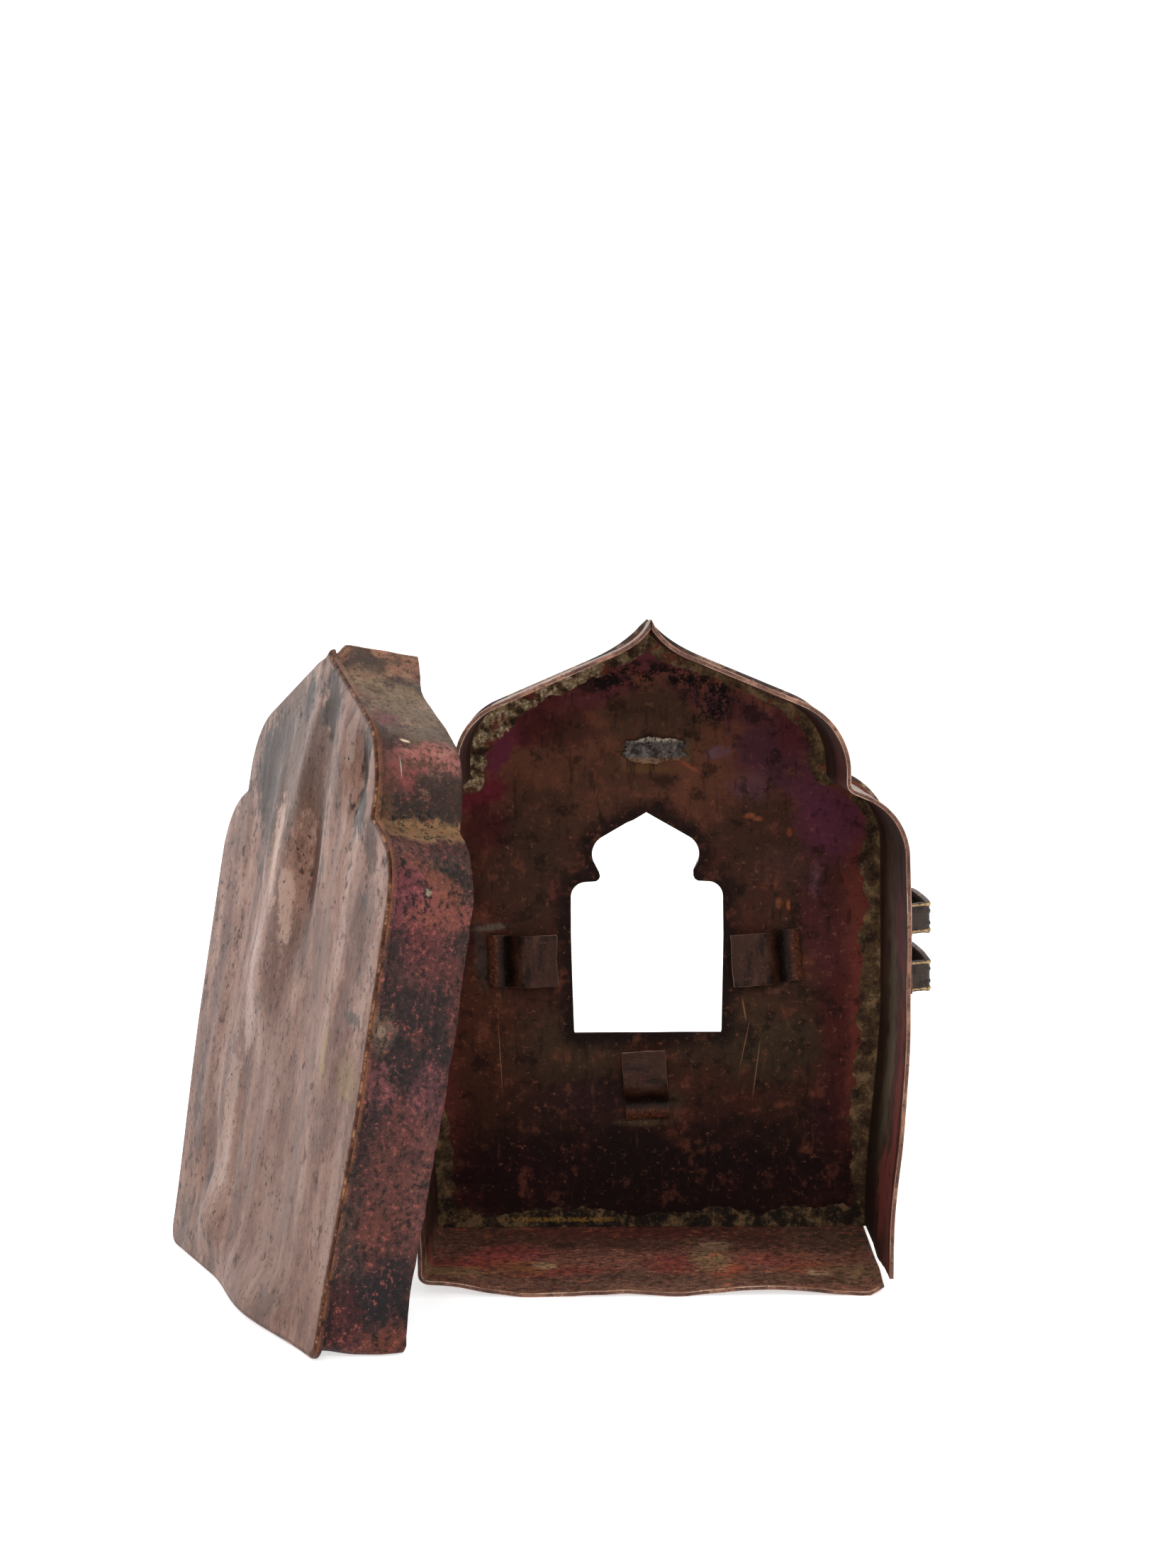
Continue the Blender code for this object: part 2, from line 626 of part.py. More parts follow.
def ground_height(x, y):
    """Height in the cover's own frame at which it meets the ground."""
    row = COVER_TURNING[2]
    return (-cover_origin()[2] - row[0] * x - row[1] * y) / row[2] + COVER_BASE_CLEARANCE


def cover_loop(inward, y):
    """The cover's closed outline at a depth y, starting and ending at the tip, with rounded base corners."""
    right, left = (grown(arch, -inward, tip_by=-inward) for arch in (COVER_RIGHT, COVER_LEFT))
    corner = (COVER_CORNER_RADIUS - inward) * (1.0 - 0.6 * smooth(LAP_END, COVER_DEPTH, y))
    lap_rise = (COVER_LIFT + SHEET / 2) * (1.0 - smooth(LAP_END, LAP_END + COVER_SETTLE_RUN, y))
    low_right = ground_height(right.base, y) + inward + lap_rise
    low_left = ground_height(-left.base, y) + inward + lap_rise
    up_right = half_outline(right, start_height=low_right + corner)
    up_left = mirrored(half_outline(left, start_height=low_left + corner))
    turn_right = arc(right.base - corner, low_right + corner, corner, 0.0, -math.pi / 2, 3)[1:]
    turn_left = arc(-left.base + corner, low_left + corner, corner, 1.5 * math.pi, math.pi, 3)[:-1]
    start, stop = turn_right[-1], turn_left[0]
    base = [(blend(start[0], stop[0], i / 10), blend(start[1], stop[1], i / 10)) for i in range(1, 10)]
    return up_right[::-1] + turn_right + base + turn_left + up_left


def dent_depth(x, z):
    """How far the cover's face is pushed out at a point, from the dents that reach it."""
    push = 0.0
    for centre_x, centre_z, half_width, half_length, turn, depth in DENTS:
        a = math.radians(turn)
        dx, dz = x - centre_x, z - centre_z
        across = (dx * math.cos(a) - dz * math.sin(a)) / half_width
        up = (dx * math.sin(a) + dz * math.cos(a)) / half_length
        push += depth * math.exp(-(across * across + up * up))
    return push


def cover_plate(where, finish):
    """The cover's face: a dented sheet with its edge turned round all the way and lapped over the rim."""
    radius = COVER_EDGE_RADIUS
    middle = SHEET / 2
    # rings from the lip to the flat face: (inward from the outline, depth from the face)
    rings = [(0.0, radius + COVER_LIP)]
    for a in (0.0, math.pi / 6, math.pi / 3, math.pi / 2):
        rings.append((radius * (1.0 - math.cos(a)), middle + radius * (1.0 - math.sin(a))))
    loops = [cover_loop(inward - COVER_LIFT, y) for inward, y in rings]
    flat_steps = 6
    count = len(loops[0])
    edge = loops[-1]
    spine = []
    for i in range(count):
        z = (edge[i][1] + edge[count - 1 - i][1]) / 2
        spine.append((0.0, min(max(z, 0.22 * COVER_HEIGHT), 0.86 * COVER_HEIGHT)))

    def base_push(x, z):
        across = 1.0 - smooth(0.0, BASE_BULGE_RUN, abs(x - BASE_BULGE_CENTRE))
        return BASE_BULGE * across * (1.0 - smooth(0.3 * BASE_BULGE_HEIGHT, BASE_BULGE_HEIGHT, z))

    def place(u, v):
        i = round(u * (count - 1))
        row = round(v * (len(rings) - 1 + flat_steps))
        if row < len(rings):
            x, z = loops[row][i]
            return turned(x, rings[row][1] - base_push(x, z), z)
        share = (row - len(rings) + 1) / flat_steps
        x, z = blend(edge[i][0], spine[i][0], share), blend(edge[i][1], spine[i][1], share)
        push = dent_depth(x, z) * smooth(0.0, 0.35, share) + base_push(x, z)
        return turned(x, middle - push, z)

    return bent_sheet("cover_plate", count - 1, len(rings) - 1 + flat_steps, place, SHEET, where, finish)


COVER_LIFT = SHEET / 2 + 0.2 * MM
COVER_ORIGIN = cover_origin()


def turned(x, y, z):
    """A point of the cover's own frame, where it stands."""
    return COVER_TURNING @ Vector((x, y, z)) + COVER_ORIGIN


def cover_rim(where, finish):
    """One strip bent round the whole outline, with its two ends meeting at the tip."""
    inward = SHEET / 2 + JOINT_GAP
    clear_y = LAP_END + JOINT_GAP
    rise_y = clear_y + COVER_TIP_RISE_RUN
    depths = [COVER_EDGE_RADIUS + JOINT_GAP, clear_y] + [blend(rise_y, COVER_DEPTH, step / 3) for step in range(4)]
    rows = len(depths) - 1
    loops = [cover_loop(inward, y) for y in depths]
    count = len(loops[0])

    def place(u, v):
        row = round(v * rows)
        i = round(u * (count - 1))
        x, z = loops[row][i]
        near_tip = 1.0 - smooth(0.0, COVER_TIP_RUN, abs(x)) if z > COVER_HEIGHT / 2 else 0.0
        share = max(0.0, depths[row] - clear_y) / (COVER_DEPTH - clear_y)
        y = depths[row] + (COVER_TIP_DEPTH - COVER_DEPTH) * near_tip * share
        z += COVER_TIP_BULGE * near_tip * smooth(clear_y, rise_y, depths[row])
        if x > 0.0:
            x += COVER_SPLAY * share * (1.0 - smooth(0.0, COVER_SPLAY_HEIGHT, z)) * smooth(0.0, BASE_HALF_WIDTH, x)
        if i in (0, count - 1):
            x += JOINT_GAP * (1.0 if i == 0 else -1.0)
            z -= JOINT_GAP * math.tan(COVER_TIP_SLOPE)
        return turned(x, y, z)

    return bent_sheet("cover_rim", count - 1, rows, place, SHEET, where, finish)


def main():
    for existing in list(bpy.data.objects):
        bpy.data.objects.remove(existing)
    part = collection("gau_box")
    cutters = collection("cutters")
    shell_copper = principled("shell_copper", (0.13, 0.07, 0.055), 0.5, 0.8)
    plate_copper = principled("plate_copper", (0.12, 0.055, 0.045), 0.55, 0.7)
    clip_copper = principled("clip_copper", (0.14, 0.09, 0.07), 0.5, 0.7)
    solder = principled("solder", (0.32, 0.32, 0.31), 0.6, 0.6)
    loop_copper = principled("loop_copper", (0.08, 0.06, 0.05), 0.45, 0.8)
    face_copper = principled("cover_face_copper", (0.36, 0.26, 0.24), 0.35, 0.9)
    rim_copper = principled("cover_rim_copper", (0.25, 0.13, 0.12), 0.5, 0.8)

    front_plate(part, cutters, plate_copper)
    left = wall_left(part, shell_copper)
    right = wall_right(part, shell_copper)
    seam = JOINT_GAP / 2
    reach = 2.5 * TIP_HALF_WIDTH
    low, high = BOX_HEIGHT - 1.5 * reach, BOX_HEIGHT + reach
    far_y = BOX_DEPTH
    boolean(left, cutter_box("right_half", (-seam, -far_y, low), (reach, far_y, high), cutters), "DIFFERENCE")
    boolean(right, cutter_box("left_half", (-reach, -far_y, low), (seam, far_y, high), cutters), "DIFFERENCE")
    clips(part, clip_copper)
    solder_patch(part, solder)
    strap_loops(part, loop_copper)
    cover_plate(part, face_copper)
    cover_rim(part, rim_copper)


main()
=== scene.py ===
# %% [markdown]
# # A gau box, open, with its back cover standing beside it
# The real thing is a travelling shrine of thin copper sheet, soldered together by hand and carried for
# years. This lesson dresses its solid model: every sheet is cut, bent, dented and coloured again in finer
# mesh, with the same sizes, and takes the place of the plain solid.

# %% Load the solid model
import math
from dataclasses import dataclass, replace

import bpy
import numpy as np
from mathutils import Euler, Matrix, Vector, noise


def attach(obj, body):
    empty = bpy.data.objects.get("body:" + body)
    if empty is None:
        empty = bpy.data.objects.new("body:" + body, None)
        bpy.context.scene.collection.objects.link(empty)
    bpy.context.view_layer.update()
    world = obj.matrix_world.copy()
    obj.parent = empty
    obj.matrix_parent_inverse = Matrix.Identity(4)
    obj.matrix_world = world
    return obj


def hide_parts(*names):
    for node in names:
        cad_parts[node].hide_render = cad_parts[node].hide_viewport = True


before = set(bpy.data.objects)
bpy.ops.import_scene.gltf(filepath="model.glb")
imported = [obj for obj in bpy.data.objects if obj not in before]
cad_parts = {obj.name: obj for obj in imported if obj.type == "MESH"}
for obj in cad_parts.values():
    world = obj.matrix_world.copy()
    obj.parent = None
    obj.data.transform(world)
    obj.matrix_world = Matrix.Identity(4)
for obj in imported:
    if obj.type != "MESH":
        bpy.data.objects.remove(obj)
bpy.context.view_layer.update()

bpy.ops.object.select_all(action="DESELECT")

# %% [markdown]
# ## Sizes
# All sizes are in millimetres, as a coppersmith would note them, and MM turns them into Blender's metres.
# Depths run back along Y: the shell's open edge is at NEAR and its windowed plate between PLATE_IN and
# PLATE_OUT. The ground is at zero.

# %% Sizes of the shell
MM = 0.001
SHEET, GAP = 1.0, 0.3
NEAR, PLATE_IN, PLATE_OUT = -31.0, 30.0, 31.0
WALL_END = PLATE_IN - GAP
WALL_DEPTH = WALL_END - NEAR
SHOULDER_SLOPE, OGEE_SLOPE = math.radians(22.5), math.radians(23.0)
SWELL_FROM, SWELL_TO = 4.0, 63.0
# the walls widen towards the plate by FLARE; the plate stands FLANGE proud of them, on a bead of radius BEAD
FLARE, FLANGE, BEAD = 1.5, 1.9, 0.95


@dataclass
class Arch:
    """The keel-arched outline, one half of it, in millimetres."""
    base: float = 53.7
    wide: float = 57.8
    spring: float = 99.0
    shoulder: float = 15.2
    lobe: float = 44.3
    lobe_height: float = 118.3
    lobe_radius: float = 17.2
    notch: float = 2.0
    tip_width: float = 8.0
    tip_slope: float = math.radians(64.0)
    height: float = 153.0


RIGHT = Arch()
LEFT_LOBE_RISE = 0.9 * 2.8
LEFT = replace(RIGHT, lobe_radius=14.4, lobe_height=RIGHT.lobe_height + LEFT_LOBE_RISE)
print("arch:", RIGHT)


# %% Curves and noise
def smooth(low, high, value):
    """An S-curve: 0 up to low, 1 from high."""
    t = min(max((value - low) / (high - low), 0.0), 1.0)
    return t * t * (3.0 - 2.0 * t)


def blend(a, b, t):
    return a + (b - a) * t


def arc(x, z, radius, start, end, steps):
    turns = [start + (end - start) * i / steps for i in range(steps + 1)]
    return [(x + radius * math.cos(a), z + radius * math.sin(a)) for a in turns]


def bezier(p0, p1, p2, p3, steps):
    points = []
    for i in range(1, steps + 1):
        t = i / steps
        w = ((1 - t) ** 3, 3 * t * (1 - t) ** 2, 3 * t * t * (1 - t), t ** 3)
        points.append(tuple(sum(a * p[k] for a, p in zip(w, (p0, p1, p2, p3))) for k in (0, 1)))
    return points


def unevenness(x, y, z, size, seed=0):
    """Smooth hand-made unevenness, from -1 to 1, with bumps about size millimetres apart."""
    return noise.noise(Vector((x / size + 7.3 * seed, y / size - 3.1 * seed, z / size + 1.7 * seed)))


# %% [markdown]
# ## The outline
# Every piece follows one outline: straight walls that swell a little, a round shoulder, a notch, an upper
# lobe and an ogee tip. It is worked out from arcs, so that a larger or smaller copy stays parallel to it.
# More points than in the solid model make its curves look hammered over a form and not cut with shears.

# %% Outline
def grown(arch, by, tip_by=None, notch=None):
    """A parallel outline, further out by so much."""
    notch = max(arch.notch - by, 0.5) if notch is None else notch
    tip_by = by / math.cos(arch.tip_slope) if tip_by is None else tip_by
    wider = {key: getattr(arch, key) + by for key in ("base", "wide", "shoulder", "lobe", "lobe_radius")}
    return replace(arch, notch=notch, height=arch.height + tip_by, **wider)


def side_at(arch, z):
    """Half the width between the straight walls, at a height."""
    return blend(arch.base, arch.wide, smooth(SWELL_FROM, SWELL_TO, z))


def half_outline(arch, start=0.0, past_tip=0.0, rises=48):
    """Points (x, z) from the base to the tip; each stretch always has as many points."""
    points = []
    for i in range(rises):
        z = start + (arch.spring - start) * i / rises
        points.append((side_at(arch, z), z))
    turn = math.pi / 2 - SHOULDER_SLOPE
    points += arc(arch.wide - arch.shoulder, arch.spring, arch.shoulder, 0.0, turn, 14)
    end_x, end_z = points[-1]
    notch_z = end_z + (end_x - arch.lobe) * math.tan(SHOULDER_SLOPE)
    centre = (arch.lobe + arch.notch, notch_z + arch.notch * math.tan(turn / 2))
    between_x = (end_x + centre[0]) / 2
    points.append((between_x, end_z + (end_x - between_x) * math.tan(SHOULDER_SLOPE)))
    points += arc(centre[0], centre[1], arch.notch, math.pi + turn, math.pi, 7)
    low = max(arch.lobe_height, centre[1] + 0.2)
    points += arc(arch.lobe - arch.lobe_radius, low, arch.lobe_radius, 0.0, math.pi / 2 - OGEE_SLOPE, 18)
    start_x, start_z = points[-1]
    tip_z = start_z + (start_x - arch.tip_width) * math.tan(OGEE_SLOPE)
    for i in range(1, 11):
        points.append((blend(start_x, arch.tip_width, i / 10), blend(start_z, tip_z, i / 10)))
    reach = arch.tip_width * 0.42
    out, up = math.cos(arch.tip_slope), math.sin(arch.tip_slope)
    low_control = (arch.tip_width - reach * math.cos(OGEE_SLOPE), tip_z + reach * math.sin(OGEE_SLOPE))
    top_control = (reach * out, arch.height - reach * up)
    points += bezier((arch.tip_width, tip_z), low_control, top_control, (0.0, arch.height), 10)
    if past_tip:
        points[-1] = (-past_tip * out, arch.height + past_tip * up)
    return points


def mirrored(points):
    return [(-x, z) for x, z in points]


def lengths(points):
    """Distance along the points, from the first one."""
    run = [0.0]
    for (x0, z0), (x1, z1) in zip(points, points[1:]):
        run.append(run[-1] + math.hypot(x1 - x0, z1 - z0))
    return run


one_side = half_outline(RIGHT)
print("outline:", len(one_side), "points,", round(lengths(one_side)[-1], 1), "mm up one side")

# %% [markdown]
# ## A sheet of metal
# Each sheet starts as a flat grid, like a blank on the bench. Moving the grid's points bends it to shape,
# Solidify gives it its thickness, and Bevel softens the arrises. The grid's UV map keeps the blank's own
# millimetres, so grain and scratches follow the metal round its bends. Each sheet has a finish for its
# outside, its inside, its cut edges and its arrises, because metal wears differently on each.

# %% Bench tools
# slots of a sheet's finishes: outside, inside and cut edge, then the same three for its first rows where
# those have their own, and the arris last
INSIDE, CUT_EDGE, OWN_SLOTS = 1, 2, 3
SMOOTH_BELOW, ARRIS_ABOVE = math.radians(50.0), math.radians(55.0)


def only(obj):
    bpy.ops.object.select_all(action="DESELECT")
    obj.select_set(True)
    bpy.context.view_layer.objects.active = obj


def apply_modifiers(obj):
    only(obj)
    for modifier in list(obj.modifiers):
        bpy.ops.object.modifier_apply(modifier=modifier.name)


def edit(obj, *steps):
    """Run edit-mode steps on everything in the mesh."""
    only(obj)
    bpy.ops.object.mode_set(mode="EDIT")
    bpy.ops.mesh.select_all(action="SELECT")
    for step in steps:
        step()
    bpy.ops.object.mode_set(mode="OBJECT")


def merge():
    bpy.ops.mesh.remove_doubles(threshold=0.004 * MM)


def turn_faces_over():
    bpy.ops.mesh.flip_normals()


def settle(obj, node, finishes):
    """Give a finished piece its materials and its place in the model; node is the solid it replaces."""
    slots = obj.data.materials
    for index, finish in enumerate(finishes):
        if index < len(slots):
            slots[index] = finish
        else:
            slots.append(finish)
    only(obj)
    bpy.ops.object.shade_smooth_by_angle(angle=SMOOTH_BELOW)
    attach(obj, "root")
    if node:
        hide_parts(node)
    print(f"{obj.name}: {len(obj.data.polygons)} faces")


def bent_sheet(
    name, columns, rows, place, blank, thickness=SHEET, turn_over=False, arris=0.16, closed=False,
    measures=None, first_rows=0, first_blank=None, even=True,
):
    """A blank of columns by rows, bent by place(u, v); blank(u, v) gives its flat millimetres.

    turn_over swaps its outside and inside, and closed joins its ends. measures are numbers kept on its
    points. The faces of first_rows take their flat millimetres from first_blank, and finishes of their own.
    """
    bpy.ops.object.select_all(action="DESELECT")
    bpy.ops.mesh.primitive_grid_add(x_subdivisions=columns, y_subdivisions=rows, size=1.0)
    sheet = bpy.context.active_object
    sheet.name = sheet.data.name = name
    mesh = sheet.data
    flat = [(v.co.x + 0.5, v.co.y + 0.5) for v in mesh.vertices]
    arris_slot = 2 * OWN_SLOTS if first_rows else OWN_SLOTS
    # empty slots come first, because the modifiers number their faces by the slots that they find
    for _ in range(arris_slot + (1 if arris else 0)):
        mesh.materials.append(None)
    layer = mesh.uv_layers[0]
    for face in mesh.polygons:
        row = int((face.center.y + 0.5) * rows)
        face.material_index = OWN_SLOTS if row < first_rows else 0
        spread = first_blank if row < first_rows else blank
        for index in face.loop_indices:
            layer.data[index].uv = spread(*flat[mesh.loops[index].vertex_index])
    for key, measure in (measures or {}).items():
        numbers = mesh.attributes.new(key, "FLOAT", "POINT")
        numbers.data.foreach_set("value", [measure(u, v) for u, v in flat])
    for vertex, (u, v) in zip(mesh.vertices, flat):
        vertex.co = Vector(place(u, v)) * MM
    steps = [merge] if closed else []
    steps += [turn_faces_over] if turn_over else []
    if steps:
        edit(sheet, *steps)
    wall = sheet.modifiers.new("thickness", "SOLIDIFY")
    wall.thickness = thickness * MM
    wall.offset = 0.0
    wall.use_even_offset = even
    wall.material_offset = INSIDE
    wall.material_offset_rim = CUT_EDGE
    if arris:
        soft = sheet.modifiers.new("arris", "BEVEL")
        soft.width = arris * MM
        soft.segments = 2
        soft.limit_method = "ANGLE"
        soft.angle_limit = ARRIS_ABOVE
        soft.material = arris_slot
    apply_modifiers(sheet)
    return sheet


# %% [markdown]
# ## Colour of old copper
# Old copper is layered: brown oxide, red and magenta cuprite where it was heated, olive and khaki dust,
# pale solder crumbs, and bare metal where hands rub it. A Finish is built up the same way: a base tone,
# then washes of other tones, each let through by a mask of noise or by a ragged spot at a known place.
# The masks read the sheet's own millimetres (its UV map) or the object's, so nothing slides.
# Some washes are painted light and shade, not colour of the metal: highlights on the cover's ridges and its
# rounded edge, shade in a valley of its face, on the clips' bends and above the rim's notch, a shadow ring
# round the window and a glint on the plate's bead.

# %% Finish builder
def tone(r, g, b):
    """A colour as a screen shows it, 0 to 255, in the linear values that shaders use."""
    values = [c / 255 for c in (r, g, b)]
    return tuple(v / 12.92 if v <= 0.04045 else ((v + 0.055) / 1.055) ** 2.4 for v in values) + (1.0,)


class Finish:
    """A material under construction: its colour, roughness and height are sockets or plain values."""

    def __init__(self, name, base, roughness=0.5, metallic=0.3, on_blank=True, specular=0.4):
        self.material = bpy.data.materials.new(name)
        self.material.use_nodes = True
        self.tree = self.material.node_tree
        self.shader = self.tree.nodes["Principled BSDF"]
        self.shader.inputs["Metallic"].default_value = metallic
        self.shader.inputs["Specular IOR Level"].default_value = specular
        self.colour, self.roughness, self.height = tone(*base), roughness, None
        coordinates = self.tree.nodes.new("ShaderNodeTexCoord")
        if on_blank:
            self.place = coordinates.outputs["UV"]
        else:
            scale = self.node("ShaderNodeVectorMath", operation="SCALE")
            self.join(coordinates.outputs["Object"], scale.inputs[0])
            scale.inputs["Scale"].default_value = 1.0 / MM
            self.place = scale.outputs[0]

    def node(self, kind, **settings):
        made = self.tree.nodes.new(kind)
        for key, value in settings.items():
            setattr(made, key, value)
        return made

    def join(self, source, target):
        """Link a socket, or set a plain value."""
        if isinstance(source, bpy.types.NodeSocket):
            self.tree.links.new(source, target)
        else:
            target.default_value = source

    def maths(self, operation, a, b=0.0):
        made = self.node("ShaderNodeMath", operation=operation)
        self.join(a, made.inputs[0])
        self.join(b, made.inputs[1])
        return made.outputs[0]

    def between(self, value, low, high, to_low=0.0, to_high=1.0):
        """S-curve from to_low at low to to_high at high; low may be the larger one."""
        made = self.node("ShaderNodeMapRange", interpolation_type="SMOOTHSTEP")
        sockets = ("Value", "From Min", "From Max", "To Min", "To Max")
        for socket, item in zip(sockets, (value, low, high, to_low, to_high)):
            self.join(item, made.inputs[socket])
        return made.outputs["Result"]

    def grain(self, size, detail=4.0, rough=0.6, seed=0.0):
        """Noise from 0 to 1 with spots of about size millimetres; size may be (across, along, deep)."""
        size = size if isinstance(size, tuple) else (size, size, size)
        mapping = self.node("ShaderNodeMapping")
        self.join(self.place, mapping.inputs["Vector"])
        mapping.inputs["Scale"].default_value = tuple(1.0 / s for s in size)
        mapping.inputs["Location"].default_value = (seed * 3.7, seed * -5.3, seed * 1.9)
        made = self.node("ShaderNodeTexNoise")
        made.inputs["Scale"].default_value = 1.0
        made.inputs["Detail"].default_value = detail
        made.inputs["Roughness"].default_value = rough
        self.join(mapping.outputs[0], made.inputs["Vector"])
        return made.outputs["Fac"]

    def part_of_place(self, axis):
        made = self.node("ShaderNodeSeparateXYZ")
        self.join(self.place, made.inputs[0])
        return made.outputs[axis]

    def measured(self, name):
        """A number stored on the mesh's points."""
        return self.node("ShaderNodeAttribute", attribute_name=name).outputs["Fac"]

    def spot(self, where, size, turn=0.0, ragged=0.35, grain=None, soft=0.35):
        """A ragged spot: 1 inside, 0 outside. where and size are in the piece's millimetres."""
        where = tuple(where) + (0.0,) * (3 - len(where))
        size = tuple(size) + (1000.0,) * (3 - len(size))
        mapping = self.node("ShaderNodeMapping", vector_type="TEXTURE")
        self.join(self.place, mapping.inputs["Vector"])
        mapping.inputs["Location"].default_value = where
        mapping.inputs["Rotation"].default_value = (0.0, 0.0, math.radians(turn))
        mapping.inputs["Scale"].default_value = size
        distance = self.node("ShaderNodeVectorMath", operation="LENGTH")
        self.join(mapping.outputs[0], distance.inputs[0])
        if grain is None:
            grain = self.shared_grain
        wobble = self.maths("MULTIPLY", self.maths("SUBTRACT", grain, 0.5), ragged * 4.0)
        return self.between(self.maths("ADD", distance.outputs["Value"], wobble), 1.0 + soft, 1.0 - soft)

    @property
    def shared_grain(self):
        if not hasattr(self, "_shared"):
            self._shared = self.grain(5.0, detail=6.0, rough=0.68, seed=2.5)
        return self._shared

    def wash(self, colour, mask, strength=1.0):
        """Lay another tone over what is there, where the mask lets it through."""
        mix = self.node("ShaderNodeMix", data_type="RGBA")
        mask = mask if strength == 1.0 else self.maths("MULTIPLY", mask, strength)
        self.join(mask, mix.inputs["Factor"])
        self.join(self.colour, mix.inputs[6])
        self.join(tone(*colour), mix.inputs[7])
        self.colour = mix.outputs[2]

    def washes(self, *rows):
        """Washes through a grain, one a row: colour, grain, where it starts, where it is full, strength.

        Masks at the end of a row narrow it down to where they overlap."""
        for colour, grain, low, high, strength, *masks in rows:
            self.wash(colour, self.overlap(*masks, self.between(grain, low, high)), strength)

    def overlap(self, *masks):
        """Where all of the masks let a wash through."""
        result = masks[-1]
        for mask in masks[-2::-1]:
            result = self.maths("MULTIPLY", mask, result)
        return result

    def frayed(self, measure, grain, amount):
        """A measure with a grain added, so that what follows it gets a ragged edge."""
        return self.maths("ADD", measure, self.maths("MULTIPLY", grain, amount))

    def patches(self, rows, ragged=0.45, soft=0.45, grain=None):
        """Ragged spots, one a row: place, half-lengths, turn in degrees, colour, strength."""
        for where, size, turn, colour, strength in rows:
            mask = self.spot(where, size, turn=turn, ragged=ragged, soft=soft, grain=grain)
            self.wash(colour, mask, strength)

    def veins(self, size, width, seed=0.0):
        """Thin branching lines, where a noise crosses its middle."""
        grain = self.grain(size, detail=5.0, rough=0.62, seed=seed)
        return self.between(self.maths("ABSOLUTE", self.maths("SUBTRACT", grain, 0.5)), width, 0.0)

    def gloss(self, roughness, mask):
        """Another roughness where the mask lets it through."""
        keep = self.maths("MULTIPLY", self.maths("SUBTRACT", 1.0, mask), self.roughness)
        self.roughness = self.maths("ADD", keep, self.maths("MULTIPLY", mask, roughness))

    def relief(self, *rows):
        """Raise the surface, one grain or mask a row, with the millimetres that it rises where it is 1."""
        for value, amount in rows:
            part = self.maths("MULTIPLY", value, amount)
            self.height = part if self.height is None else self.maths("ADD", self.height, part)

    def done(self, contrast=1.0, light=1.0):
        """Join everything to the shader; contrast deepens the darks, and light then lifts the whole."""
        deep, lift = self.node("ShaderNodeGamma"), self.node("ShaderNodeVectorMath", operation="SCALE")
        self.join(self.colour, deep.inputs["Color"])
        deep.inputs["Gamma"].default_value = contrast
        self.join(deep.outputs[0], lift.inputs[0])
        lift.inputs["Scale"].default_value = light
        self.join(lift.outputs[0], self.shader.inputs["Base Color"])
        self.join(self.roughness, self.shader.inputs["Roughness"])
        if self.height is not None:
            made = self.node("ShaderNodeBump")
            made.inputs["Strength"].default_value = 1.0
            made.inputs["Distance"].default_value = MM
            self.join(self.height, made.inputs["Height"])
            self.join(made.outputs["Normal"], self.shader.inputs["Normal"])
        print("finish:", self.material.name, len(self.tree.nodes), "nodes")
        return self.material


# %% [markdown]
# ## Finishes of the cut edges and of the bare metal
# Wherever a sheet was cut, the arris has been handled for generations. It is bright, pinkish copper in
# places and dark in others. One material serves all the cut edges.

# %% Worn edge
def make_worn_edge():
    f = Finish("worn_edge", (84, 56, 46), roughness=0.45, metallic=0.4, on_blank=False)
    patches, fine = f.grain(7.0, detail=5.0, seed=1.0), f.grain(0.7, detail=4.0, rough=0.7, seed=4.0)
    f.washes(
        ((140, 100, 80), patches, 0.50, 0.64, 0.8), ((48, 30, 25), patches, 0.48, 0.38, 0.8),
        ((36, 24, 21), fine, 0.46, 0.36, 0.8), ((176, 130, 102), fine, 0.60, 0.70, 0.6),
    )
    f.relief((fine, 0.12))
    return f.done()


def make_arris():
    f = Finish("rubbed_arris", (160, 116, 94), roughness=0.4, metallic=0.5, on_blank=False)
    patches, fine = f.grain(9.0, detail=5.0, seed=6.0), f.grain(0.8, detail=4.0, rough=0.7, seed=7.0)
    f.washes(
        ((206, 172, 150), patches, 0.52, 0.64, 0.8), ((120, 74, 52), patches, 0.50, 0.38, 0.9),
        ((60, 38, 31), fine, 0.46, 0.36, 0.85),
    )
    f.relief((fine, 0.06))
    return f.done()


worn_edge, arris_finish = make_worn_edge(), make_arris()


# %% [markdown]
# ## Inside of the windowed plate
# The plate is the darkest surface: brown in the middle, crimson towards the joint, nearly black at the
# bottom. Two numbers are stored on its points, the distance from the joint and the distance from the
# window, and the washes follow them.

